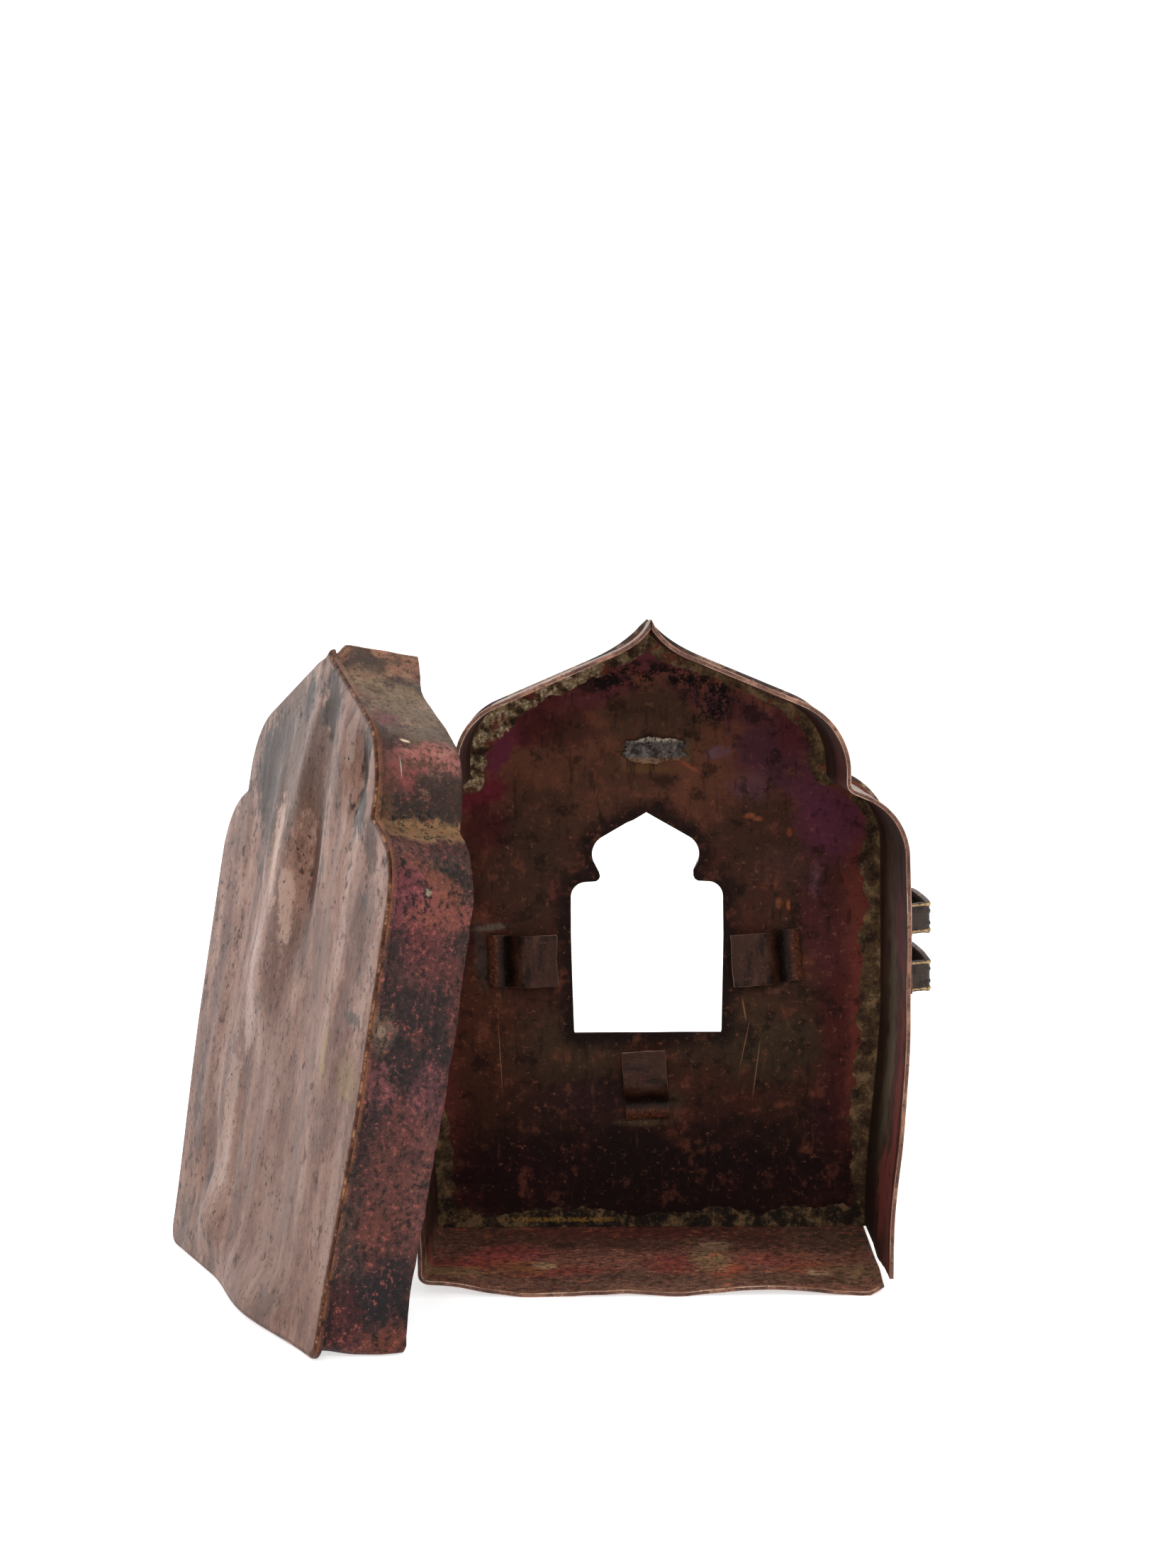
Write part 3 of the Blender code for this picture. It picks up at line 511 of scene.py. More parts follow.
# %% Plate finish
# place on the plate (across, up), half-lengths, turn, colour, strength
PLATE_PATCHES = (
    ((2, 131), (15, 9), 0, (59, 45, 35), 0.75), ((-8, 115), (14, 8), 8, (57, 41, 32), 0.6),
    ((-30, 96), (11, 20), 0, (55, 39, 30), 0.7), ((27, 100), (10, 12), 0, (53, 37, 29), 0.6),
    ((-42, 46), (8, 22), 0, (69, 41, 28), 0.75), ((-20, 46), (15, 9), 0, (59, 46, 34), 0.75),
    ((28, 47), (18, 9), 0, (56, 46, 34), 0.8), ((27, 60), (9, 6), 20, (59, 44, 33), 0.7),
    ((8, 26), (6, 5), 10, (90, 54, 41), 0.7), ((-14, 33), (15, 6), 0, (49, 30, 31), 0.7),
    ((2, 12), (58, 14), 0, (28, 12, 11), 0.9), ((-36, 14), (17, 8), 0, (50, 20, 24), 0.75),
    ((30, 11), (18, 5), 0, (48, 21, 22), 0.6), ((4, 17), (20, 5), 0, (37, 19, 18), 0.6),
    ((45, 30), (4, 10), 0, (58, 27, 32), 0.7), ((47, 55), (4, 16), 0, (65, 30, 29), 0.75),
    ((44, 78), (6, 16), 6, (69, 35, 38), 0.7), ((46, 104), (8, 9), 20, (83, 44, 59), 0.95),
    ((41, 112), (6, 6), 0, (82, 46, 60), 0.8), ((31, 122), (9, 10), 0, (72, 43, 53), 0.9),
    ((36, 128), (4, 7), 0, (82, 39, 43), 0.8), ((26, 113), (5, 3.5), 20, (89, 62, 67), 0.6),
    ((18, 121.5), (3.2, 1.3), 10, (95, 72, 79), 0.75), ((42, 89), (1.4, 4), 0, (94, 65, 73), 0.7),
    ((35, 92), (7, 5), 0, (70, 47, 42), 0.6), ((20, 133), (13, 4), -22, (74, 44, 46), 0.8),
    ((2, 145), (13, 3.5), 0, (87, 47, 52), 0.95), ((-14, 137), (13, 4.5), 20, (83, 45, 48), 0.9),
    ((-29, 130), (8, 6), 40, (80, 35, 39), 0.9), ((-37, 122.5), (2.6, 7), -38, (92, 43, 59), 0.9),
    ((-36.5, 127.6), (2.6, 1.0), 30, (113, 52, 39), 0.9), ((-43.5, 111), (7, 3.6), 12, (89, 35, 43), 0.95),
    ((-41, 103), (6, 6), 0, (61, 27, 27), 0.8), ((-23.5, 86.5), (1.8, 3.6), 0, (86, 49, 44), 0.7),
    ((-22, 128), (10, 5), 0, (58, 32, 28), 0.6), ((-46, 80), (4, 12), 0, (44, 21, 18), 0.7),
    ((25.6, 105.3), (1.3, 0.8), 0, (116, 70, 49), 0.95), ((27.6, 104.5), (1.4, 0.7), 0, (110, 67, 49), 0.9),
    ((35.6, 101), (0.7, 1.2), 0, (106, 60, 42), 0.9), ((33, 83), (0.8, 1.3), 0, (95, 62, 44), 0.8),
    ((35.4, 82.4), (0.6, 1.3), 0, (113, 68, 42), 0.9), ((0, 117.4), (7.5, 1.2), 0, (83, 61, 40), 0.9),
    ((-5.8, 121), (1.4, 3.2), 0, (88, 66, 50), 0.8), ((10.0, 118.2), (2.8, 0.5), -30, (115, 68, 50), 0.95),
    ((1, 127.5), (10, 2.6), 0, (74, 53, 41), 0.7), ((9.6, 122), (1.2, 3.0), 0, (83, 70, 52), 0.7),
    ((-2, 27.4), (7, 1.0), 0, (83, 70, 55), 0.8), ((6, 32), (3, 4), 0, (69, 54, 41), 0.7),
    ((-42.5, 70), (1.6, 8), 4, (58, 50, 44), 0.8), ((-39, 77.6), (4.5, 0.9), 8, (84, 75, 66), 0.8),
    ((37.2, 69), (1.1, 7.6), 0, (71, 58, 48), 0.8), ((34, 61.6), (4, 1.2), 10, (87, 61, 48), 0.7),
)


# scratches on the plate: middle (across, up), half-width and half-length, turn
PLATE_SCRATCHES = (
    ((-38, 44), (0.12, 9), 3), ((24, 47), (0.12, 6), -12),
    ((27, 41), (0.14, 7), -8), ((24, 56), (0.2, 3), 10),
)


def make_plate_inside():
    f = Finish("plate_inside_patina", (60, 37, 28), roughness=0.7, metallic=0.1, specular=0.12)
    joint, window, up = f.measured("from_joint"), f.measured("from_window"), f.part_of_place("Y")
    broad, middle = f.grain(22.0, detail=4.0, seed=1.0), f.grain(6.0, detail=7.0, rough=0.68, seed=3.0)
    fine = f.grain(1.5, detail=6.0, rough=0.72, seed=5.0)
    dust = f.grain(0.42, detail=3.0, rough=0.7, seed=6.0)
    smear = f.grain((1.6, 9.0, 1.0), detail=6.0, rough=0.66, seed=8.0)
    f.washes(
        ((70, 38, 28), broad, 0.50, 0.62, 0.6), ((46, 34, 24), broad, 0.48, 0.36, 0.6),
        ((104, 54, 48), f.frayed(joint, middle, 14.0), 20.0, 12.0, 0.7),
        ((112, 76, 60), up, 92.0, 126.0, 0.55),
    )
    f.patches(PLATE_PATCHES)
    f.washes(
        ((20, 9, 8), f.frayed(up, middle, 30.0), 74.0, 26.0, 0.6),
        # painted shadow ring: the plate darkens within a few millimetres of the window
        ((18, 10, 8), f.frayed(window, middle, 7.0), 9.5, 4.5, 0.8),
        ((26, 15, 12), middle, 0.47, 0.36, 0.6), ((100, 62, 48), middle, 0.54, 0.68, 0.45),
        ((24, 13, 11), smear, 0.44, 0.34, 0.45), ((92, 62, 50), smear, 0.60, 0.72, 0.3),
        ((122, 82, 64), fine, 0.57, 0.70, 0.5), ((20, 11, 10), fine, 0.42, 0.32, 0.6),
        ((136, 104, 84), dust, 0.66, 0.76, 0.35), ((14, 8, 8), dust, 0.38, 0.28, 0.5),
    )
    under_tip = f.spot((0, 141), (17, 3.6), ragged=0.5)
    flaky = f.maths("MAXIMUM", under_tip, f.spot((15, 135), (6, 7), turn=20, ragged=0.5))
    f.wash((20, 14, 15), f.overlap(flaky, f.between(f.maths("ADD", fine, middle), 1.04, 0.92)), 0.95)
    f.wash((20, 14, 15), f.overlap(flaky, f.veins(5.0, 0.035, seed=17.0)), 0.9)
    for where, size, turn in PLATE_SCRATCHES:
        f.wash((120, 90, 68), f.spot(where, size, turn=turn, ragged=0.1), 0.6)
    crust = f.between(f.frayed(joint, middle, 6.0), 5.0, 3.6)
    f.washes(
        ((84, 66, 46), fine, 0.40, 0.50, 0.85, crust), ((146, 130, 104), dust, 0.58, 0.68, 0.7, crust),
    )
    f.relief((fine, 0.24), (dust, 0.07), (middle, 0.5), (smear, 0.12))
    return f.done(contrast=1.25, light=2.3)


plate_inside = make_plate_inside()


# %% Plate front finish
def make_plate_front():
    f = Finish("plate_front_patina", (94, 70, 60), roughness=0.5, metallic=0.35, specular=0.2)
    joint = f.measured("from_joint")
    broad, middle = f.grain(30.0, detail=4.0, seed=11.0), f.grain(7.0, detail=6.0, rough=0.65, seed=13.0)
    fine = f.grain(1.1, detail=5.0, rough=0.7, seed=15.0)
    f.washes(
        ((124, 98, 86), broad, 0.45, 0.6, 0.7), ((66, 46, 39), middle, 0.52, 0.36, 0.7),
        ((128, 78, 68), middle, 0.56, 0.72, 0.5), ((142, 122, 102), fine, 0.56, 0.68, 0.45),
        ((44, 31, 27), fine, 0.43, 0.33, 0.6),
        ((38, 26, 22), f.frayed(joint, middle, 8.0), 7.0, 3.0, 0.8),
    )
    scratched = f.grain((0.6, 30.0, 1.0), detail=2.0, seed=9.0)
    f.wash((168, 128, 104), f.between(scratched, 0.66, 0.74), 0.4)
    f.relief((fine, 0.12), (middle, 0.3))
    return f.done(contrast=1.2, light=1.3)


plate_front = make_plate_front()


# %% [markdown]
# ## The windowed plate
# The plate's mesh runs in rings from its outer edge to the window. Each ring is found by shooting rays
# from one point inside the window, and the rays pass through every corner of both outlines, so that the
# corners stay sharp. The plate gets a soft buckle, and its numbers for the finish.

# %% Window outline
WINDOW_CENTRE = -0.5


def window_outline(sill=50.4, height=56.0, centre=WINDOW_CENTRE):
    """The stepped window, closed: straight sides, a rounded step and an onion arch."""
    top = sill + height
    shoulder, corner, onion_z, onion_r = top - 17.6, 3.8, top - 10.6, 5.0
    half = [(0.0, sill), (9.0, sill + 0.05), (18.5, sill), (18.7, sill + 0.3), (19.0, 62.0), (19.3, 75.0)]
    half += arc(19.25 - corner, shoulder - corner, corner, 0.0, math.pi / 2, 8)
    half += [(12.9, shoulder + 0.15), (12.2, shoulder + 0.6), (11.8, shoulder + 1.4)]
    half += arc(13.3 - onion_r, onion_z, onion_r, math.radians(-46), math.radians(60), 14)
    x, z = half[-1]
    half += bezier((x, z), (x * 0.62, z + x * 0.22), (x * 0.28, top - x * 0.17), (0.0, top), 9)
    left = [(-x - (0.5 if z > 91.0 and x > 4.0 else 0.0), z) for x, z in half[1:-1]][::-1]
    return [(x + centre, z) for x, z in half + left]


def flange_outline(arch):
    """The middle of the plate's turned edge: a little outside the walls, with an easier curve."""
    wide = FLARE + FLANGE - BEAD
    shape = grown(arch, wide, 2.2 - BEAD, 4.0)
    shape = replace(shape, lobe_radius=shape.lobe_radius - 2.4, tip_width=14.0, tip_slope=math.radians(52.0))
    return half_outline(shape, start=BEAD)


plate_edge = flange_outline(RIGHT) + mirrored(flange_outline(LEFT))[::-1][1:]
print("window:", len(window_outline()), "points; plate edge:", len(plate_edge), "points")


# %% Rays through both outlines
def ring_by_rays(outer, inner, centre, smallest_turn=0.003):
    """Pairs of points where rays from the centre cross the outer and the inner outline."""
    angles = sorted({round(math.atan2(z - centre[1], x - centre[0]), 4) for x, z in outer + inner})
    picked = [angles[0]]
    for angle in angles[1:]:
        if angle - picked[-1] > smallest_turn:
            picked.append(angle)

    def crossing(loop, angle):
        dx, dz = math.cos(angle), math.sin(angle)
        best = None
        for (x0, z0), (x1, z1) in zip(loop, loop[1:] + loop[:1]):
            ex, ez = x1 - x0, z1 - z0
            cross = dx * ez - dz * ex
            if abs(cross) < 1e-12:
                continue
            qx, qz = x0 - centre[0], z0 - centre[1]
            t, s = (qx * ez - qz * ex) / cross, (qx * dz - qz * dx) / cross
            if t > 0 and -1e-4 <= s <= 1.0001 and (best is None or t > best):
                best = t
        return (centre[0] + dx * best, centre[1] + dz * best)

    return [(crossing(outer, a), crossing(inner, a)) for a in picked]


def distances(points, loop):
    """Distance of each point from the nearest stretch of a closed outline."""
    p = np.array(points)[:, None, :]
    a, b = np.array(loop), np.roll(np.array(loop), -1, axis=0)
    along = b - a
    t = np.clip(((p - a) * along).sum(-1) / np.maximum((along ** 2).sum(-1), 1e-9), 0, 1)
    return np.sqrt(((p - a - along * t[..., None]) ** 2).sum(-1)).min(1)


# %% Plate
def inner_joint():
    """Where the inside of the walls and of the floor meets the plate."""
    shapes = [grown(grown(arch, FLARE, tip_by=FLARE), -SHEET) for arch in (RIGHT, LEFT)]
    return half_outline(shapes[0], start=SHEET) + mirrored(half_outline(shapes[1], start=SHEET))[::-1][1:]


def make_plate():
    pairs = ring_by_rays(plate_edge, window_outline(), (WINDOW_CENTRE, 74.0))
    pairs.append(pairs[0])
    rows, middle_y = 30, (PLATE_IN + PLATE_OUT) / 2

    def flat(u, v):
        outer, inner = pairs[round(u * (len(pairs) - 1))]
        return blend(outer[0], inner[0], v), blend(outer[1], inner[1], v)

    def place(u, v):
        x, z = flat(u, v)
        inside = smooth(0.0, 0.15, v) * smooth(0.0, 0.04, 1.0 - v)
        return x, middle_y + 0.22 * inside * unevenness(x, 0.0, z, 21.0), z

    plate = bent_sheet(
        "windowed_plate", len(pairs) - 1, rows, place, flat, turn_over=True, arris=0.0, closed=True,
    )
    spots = [(v.co.x / MM, v.co.z / MM) for v in plate.data.vertices]
    for name, loop in (("from_joint", inner_joint()), ("from_window", window_outline())):
        plate.data.attributes.new(name, "FLOAT", "POINT").data.foreach_set("value", distances(spots, loop))
    settle(plate, "front_plate", [plate_front, plate_inside, worn_edge])


make_plate()


# %% [markdown]
# ## The plate's rounded edge
# The plate's edge was turned over a wire, and stands proud of the walls as a thin bead. A curve with a
# round bevel makes it. It is turned into a mesh so that it can take a finish of its own, in which a pale
# gold wash is partly worn bright metal and partly a painted glint.

# %% Bead
def make_bead_finish():
    f = Finish("plate_bead", (58, 42, 36), roughness=0.45, metallic=0.5, on_blank=False)
    patches, fine = f.grain(9.0, detail=5.0, seed=21.0), f.grain(0.8, detail=4.0, seed=22.0)
    f.washes(
        ((132, 104, 88), patches, 0.48, 0.60, 0.75),
        # pale gold: worn bright metal, partly a painted glint on the bead
        ((188, 152, 96), patches, 0.5, 0.58, 0.7, f.between(fine, 0.52, 0.60)),
        ((30, 22, 20), patches, 0.44, 0.36, 0.9),
    )
    f.relief((fine, 0.14))
    return f.done()


bead_finish = make_bead_finish()


def tube_along(name, points, y, radius):
    curve = bpy.data.curves.new(name, "CURVE")
    curve.dimensions = "3D"
    curve.bevel_depth = radius * MM
    curve.bevel_resolution = 3
    line = curve.splines.new("POLY")
    line.points.add(len(points) - 1)
    for point, (x, z) in zip(line.points, points):
        point.co = (x * MM, y * MM, z * MM, 1.0)
    line.use_cyclic_u = True
    tube = bpy.data.objects.new(name, curve)
    bpy.context.scene.collection.objects.link(tube)
    only(tube)
    bpy.ops.object.convert(target="MESH")
    return bpy.context.active_object


bead = tube_along("plate_edge_bead", plate_edge, PLATE_IN + BEAD, BEAD)
settle(bead, "front_plate", [bead_finish])

# %% [markdown]
# ## Finish of the walls
# Inside, the walls are dark brown, with fine lines along the sheet from the rolling and the planishing.
# The free edge has a lighter, pinkish band, and outside the metal is greyer and rubbed.

# %% Wall finishes
def sheet_grain(f, seed):
    """The noises that every wall finish shares: broad, middle, fine, dust and lines along the strip."""
    return (
        f.grain((26.0, 11.0, 1.0), detail=4.0, seed=seed),
        f.grain(5.0, detail=7.0, rough=0.68, seed=seed + 2),
        f.grain(1.2, detail=6.0, rough=0.72, seed=seed + 4),
        f.grain(0.4, detail=3.0, rough=0.7, seed=seed + 5),
        f.grain((38.0, 0.7, 1.0), detail=4.0, rough=0.6, seed=seed + 6),
    )


def make_wall_inside():
    f = Finish("wall_inside_patina", (50, 33, 28), roughness=0.52, metallic=0.2, specular=0.2)
    depth = f.part_of_place("Y")
    broad, middle, fine, dust, rolled = sheet_grain(f, 31.0)
    f.washes(
        ((74, 42, 36), middle, 0.50, 0.64, 0.65), ((60, 50, 40), broad, 0.52, 0.62, 0.6),
        ((24, 16, 14), broad, 0.48, 0.38, 0.75),
    )
    f.patches((
        ((312, 12), (12, 14), 0, (92, 58, 52), 0.8), ((330, 30), (16, 18), 0, (66, 56, 46), 0.7),
        ((350, 18), (14, 12), 10, (84, 50, 44), 0.7), ((378, 14), (10, 10), 0, (86, 46, 48), 0.7),
        ((334, 52), (34, 7), 0, (34, 26, 22), 0.7), ((420, 14), (8, 12), 0, (88, 46, 44), 0.7),
        ((334, 7), (30, 5), 0, (112, 56, 52), 0.75), ((352, 30), (34, 8), 2, (84, 78, 62), 0.75),
        ((318, 22), (10, 9), 0, (120, 62, 58), 0.7), ((385, 34), (14, 9), 0, (74, 62, 50), 0.6),
    ), ragged=0.9, soft=0.3)
    f.washes(
        ((112, 84, 72), rolled, 0.56, 0.70, 0.5), ((20, 13, 11), rolled, 0.44, 0.32, 0.6),
        ((116, 88, 72), dust, 0.62, 0.74, 0.35), ((18, 11, 10), fine, 0.42, 0.32, 0.55),
    )
    wobble = f.frayed(depth, middle, 3.0)
    f.washes(
        ((104, 70, 60), wobble, 3.4, 2.0, 0.65),
        ((30, 19, 16), wobble, 5.4, 4.0, 0.5, f.between(wobble, 2.6, 3.2)),
        ((84, 66, 46), fine, 0.42, 0.5, 0.8, f.between(wobble, 58.5, 61.0)),
    )
    f.relief((rolled, 0.14), (fine, 0.16), (middle, 0.4))
    return f.done(contrast=1.15, light=2.0)


def make_wall_outside():
    f = Finish("wall_outside_patina", (96, 74, 66), roughness=0.42, metallic=0.45)
    depth = f.part_of_place("Y")
    broad, middle, fine, dust, rolled = sheet_grain(f, 41.0)
    f.washes(
        ((132, 108, 98), broad, 0.46, 0.60, 0.8), ((72, 52, 45), middle, 0.52, 0.36, 0.6),
        ((116, 66, 58), middle, 0.56, 0.70, 0.5), ((108, 96, 74), broad, 0.44, 0.34, 0.55),
        ((158, 134, 124), rolled, 0.60, 0.72, 0.35), ((36, 28, 26), fine, 0.42, 0.32, 0.65),
        ((46, 36, 32), middle, 0.46, 0.36, 0.6, f.between(fine, 0.50, 0.42)),
        ((170, 146, 130), dust, 0.64, 0.74, 0.4),
        ((46, 34, 29), f.frayed(depth, middle, 4.0), 60.5, 63.5, 0.7),
    )
    f.relief((rolled, 0.06), (fine, 0.14), (middle, 0.3))
    return f.done(contrast=1.2, light=1.2)


wall_inside, wall_outside = make_wall_inside(), make_wall_outside()


# %% [markdown]
# ## Left wall and floor, from one strip
# One strip runs from the tip down the left side, turns the lower corner without a seam and forms the
# floor. Its free edge has sprung: the left corner has lifted off the ground, the middle waves, and the
# right corner curls up where the seam has opened.

# %% Floor waves
# centre across, half-width, height
FLOOR_WAVES = ((-7.0, 15.0, 0.8), (26.0, 23.0, 1.6))
LEFT_CORNER_LIFT, RIGHT_CORNER_CURL = 3.0, 1.6


def floor_lift(x, share):
    """How far the floor has sprung off the ground; share is 0 at the free edge and 1 at the plate."""
    lift = LEFT_CORNER_LIFT * smooth(0.0, 27.0, -26.7 - x)
    for centre, half_width, height in FLOOR_WAVES:
        lift += height * (1.0 - smooth(0.0, half_width, abs(x - centre)))
    lift += RIGHT_CORNER_CURL * smooth(0.0, 5.0, x - 48.0)
    lift += 0.25 * unevenness(x, 0.0, 0.0, 6.0, 3) * smooth(0.0, 6.0, x + 53.0)
    return max(lift, 0.0) * (1.0 - smooth(0.0, 0.5, share))


def wall_arch(arch, share):
    """The middle of the walls' sheet, at a share of their depth."""
    return grown(grown(arch, FLARE * share, tip_by=FLARE * share), -SHEET / 2)


def left_strip(arch, floor_steps=60):
    """Points (x, z) of the left strip: from the tip down the side, round the corner, along the floor."""
    bend, middle = 2.0, SHEET / 2
    side = mirrored(half_outline(arch, start=middle + bend, past_tip=SHEET))[::-1]
    corner = arc(-arch.base + bend, middle + bend, bend, math.pi, 1.5 * math.pi, 8)[1:]
    start, stop = corner[-1][0], arch.base - SHEET / 2 - GAP
    floor = [(blend(start, stop, i / floor_steps), middle) for i in range(1, floor_steps + 1)]
    return side + corner + floor


# %% Left wall and floor
TIP_FROM, TIP_CLEARANCE = 140.0, 0.12


def cut_at_tip(sheet, side):
    """Cut a strip off at the tip, a hair short of the middle, and close the cut."""
    only(sheet)
    bpy.ops.object.mode_set(mode="EDIT")
    bpy.ops.mesh.select_all(action="DESELECT")
    bpy.ops.object.mode_set(mode="OBJECT")
    for face in sheet.data.polygons:
        face.select = face.center.z > TIP_FROM * MM
    bpy.ops.object.mode_set(mode="EDIT")
    bpy.ops.mesh.bisect(
        plane_co=(side * TIP_CLEARANCE * MM, 0.0, 0.0), plane_no=(side, 0.0, 0.0),
        use_fill=True, clear_inner=True, threshold=1e-7,
    )
    bpy.ops.object.mode_set(mode="OBJECT")


def make_left_strip(rows=44):
    near, far = left_strip(wall_arch(LEFT, 0.0)), left_strip(wall_arch(LEFT, 1.0))
    run = lengths(near)
    last = len(near) - 1

    def place(u, v):
        (x0, z0), (x1, z1) = near[round(u * last)], far[round(u * last)]
        x, z, y = blend(x0, x1, v), blend(z0, z1, v), blend(NEAR, WALL_END, v)
        on_floor = z < 20.0
        if x < 0.0 or on_floor:
            z += floor_lift(x, v) * max(0.0, 1.0 - (z - 0.5) / 20.0)
        if on_floor:
            along, end = run[round(u * last)], run[-1]
            x -= 0.7 * smooth(0.0, 1.0, 1.0 - v / 0.35) * smooth(end - 12.0, end, along)
            y += 1.6 * smooth(end - 3.0, end, along) ** 2 * (1.0 - smooth(0.0, 0.1, v))
        edge = 1.0 - smooth(0.0, 0.16, v)
        y += 0.3 * edge * unevenness(x, 0.0, z, 9.0, 5)
        inside = smooth(0.0, 0.2, 1.0 - v)
        if z > 3.0:
            x += 0.35 * inside * unevenness(x, y, z, 17.0, 6)
        else:
            z += 0.16 * inside * v * max(0.0, unevenness(x, y, z, 14.0, 7))
        return x, y, z

    def flat(u, v):
        return run[round(u * last)], v * WALL_DEPTH

    strip = bent_sheet("left_wall_and_floor", last, rows, place, flat, turn_over=True)
    cut_at_tip(strip, -1.0)
    return strip, run


left_sheet, left_run = make_left_strip()
print("left strip, flat:", round(left_run[-1], 1), "by", round(WALL_DEPTH, 1), "mm")

# %% [markdown]
# ## Finish of the floor
# The floor catches the light. Dust lies on it in khaki specks, and red and orange oxide shows through.
# The floor and the left wall are one sheet, so one material serves both, and the floor's colours are
# let in by how far along the strip a point is.

# %% Floor finish
# place on the floor (across from the shell's middle, back from the free edge), half-lengths, turn,
# colour, strength
FLOOR_PATCHES = (
    ((0, 8), (60, 9), 0, (98, 75, 64), 0.7), ((0, 50), (60, 14), 0, (64, 44, 38), 0.7),
    ((-42, 26), (13, 8), 6, (142, 69, 66), 0.8), ((-22, 17), (12, 5), 0, (124, 65, 58), 0.8),
    ((-5, 54), (26, 6), 0, (96, 50, 47), 0.7), ((6, 25), (7, 9), 0, (117, 57, 54), 0.75),
    ((-35, 35), (11, 6), 0, (132, 65, 64), 0.7), ((17, 17), (5, 8), 0, (145, 80, 59), 0.8),
    ((36, 19), (8, 7), 12, (124, 75, 58), 0.8), ((3, 20), (4, 6), 0, (125, 69, 58), 0.6),
    ((27, 27), (8, 6), 0, (132, 76, 66), 0.7), ((-48, 13), (9, 7), 0, (129, 106, 77), 0.85),
    ((-31, 21), (8, 5), 0, (122, 85, 55), 0.75), ((-25.5, 23), (2.6, 3), 0, (142, 121, 95), 0.9),
    ((13, 30), (4.5, 15), 4, (130, 111, 82), 0.75), ((45, 15), (10, 9), 0, (114, 95, 73), 0.7),
    ((15, 41), (4, 4), 0, (150, 134, 111), 0.7), ((44, 44), (12, 12), 0, (80, 66, 54), 0.7),
    ((-50, 40), (7, 14), 0, (106, 80, 68), 0.7), ((-22, 41), (3, 2.5), 0, (44, 34, 31), 0.8),
    ((-8, 11), (16, 5), 0, (85, 66, 56), 0.6), ((30, 8), (20, 4), 0, (90, 71, 57), 0.6),
    ((37, 14), (3, 2), 20, (162, 144, 118), 0.6), ((2, 40), (20, 5), 0, (85, 59, 52), 0.5),
)


def make_strip_inside(middle_at):
    f = Finish("strip_inside_patina", (50, 33, 28), roughness=0.55, metallic=0.2, specular=0.2)
    run, depth = f.part_of_place("X"), f.part_of_place("Y")
    broad, middle, fine, dust, rolled = sheet_grain(f, 51.0)
    f.washes(
        ((74, 44, 36), middle, 0.50, 0.64, 0.65), ((60, 50, 40), broad, 0.52, 0.62, 0.5),
        ((24, 16, 14), broad, 0.46, 0.36, 0.7),
    )
    floor = f.between(run, middle_at - 58.0, middle_at - 52.0)
    f.wash((116, 80, 68), floor)
    patchy = f.grain(2.4, detail=7.0, rough=0.76, seed=58.0)
    on_strip = [((middle_at + x, y), *rest) for (x, y), *rest in FLOOR_PATCHES]
    f.patches(on_strip, ragged=1.1, soft=0.2, grain=patchy)
    f.washes(
        ((168, 96, 74), middle, 0.56, 0.68, 0.55, floor), ((64, 44, 38), middle, 0.46, 0.36, 0.6, floor),
        ((118, 92, 80), rolled, 0.58, 0.72, 0.3), ((26, 18, 15), rolled, 0.42, 0.32, 0.45),
        ((156, 136, 104), dust, 0.60, 0.70, 0.6, floor), ((54, 35, 29), fine, 0.52, 0.42, 0.75, floor),
        ((150, 126, 92), middle, 0.46, 0.56, 0.6, floor, f.between(fine, 0.56, 0.64)),
        ((176, 104, 74), fine, 0.58, 0.68, 0.55, floor), ((28, 19, 17), fine, 0.42, 0.32, 0.6),
        ((30, 22, 20), dust, 0.38, 0.30, 0.5),
    )
    wobble = f.frayed(depth, middle, 3.0)
    f.washes(
        ((96, 74, 56), wobble, 3.6, 2.0, 0.6), ((20, 14, 12), wobble, 59.5, 62.5, 0.85, floor),
    )
    f.relief((fine, 0.24), (dust, 0.08), (middle, 0.45), (rolled, 0.08))
    return f.done(contrast=1.2, light=2.7)


FLOOR_HALF = 52.4
strip_inside = make_strip_inside(left_run[-1] - FLOOR_HALF)
strip_finishes = [wall_outside, strip_inside, worn_edge, arris_finish]
settle(left_sheet, "wall_left_and_floor", strip_finishes)


# %% [markdown]
# ## Right wall
# The second strip stops just above the floor. Its lower end is torn, and daylight shows through the
# opened seam. At the tip it meets the first strip.

# %% Right wall
# share of the wall's depth, gap above the floor
SEAM_GAPS = ((0.0, 1.5), (0.2, 1.3), (0.45, 0.35), (0.62, 1.0), (0.8, 0.7), (1.0, 0.35))


def seam_gap(share):
    for (s0, g0), (s1, g1) in zip(SEAM_GAPS, SEAM_GAPS[1:]):
        if share <= s1:
            return blend(g0, g1, (share - s0) / (s1 - s0))
    return SEAM_GAPS[-1][1]


def make_right_wall(rows=56):
    run = lengths(half_outline(wall_arch(RIGHT, 0.0), start=4.0, past_tip=SHEET))
    last, seam_x, apart = len(run) - 1, 51.7, 300.0

    def flat(u, v):
        return apart + run[round(u * last)], v * WALL_DEPTH

    def place(u, v):
        torn = SHEET + floor_lift(seam_x, v) + seam_gap(v)
        torn += 0.3 * max(0.0, unevenness(v * 60.0, 0.0, 0.0, 4.0, 9))
        x, z = half_outline(wall_arch(RIGHT, v), start=torn, past_tip=SHEET)[round(u * last)]
        y = blend(NEAR, WALL_END, v)
        y += 0.3 * (1.0 - smooth(0.0, 0.16, v)) * unevenness(x, 0.0, z, 9.0, 15)
        x += 0.4 * smooth(0.0, 0.2, 1.0 - v) * smooth(0.0, 0.05, u) * unevenness(x, y, z, 19.0, 16)
        return x, y, z

    wall = bent_sheet("right_wall", last, rows, place, flat, turn_over=True)
    cut_at_tip(wall, 1.0)
    settle(wall, "wall_right", [wall_outside, wall_inside, worn_edge, arris_finish])


make_right_wall()


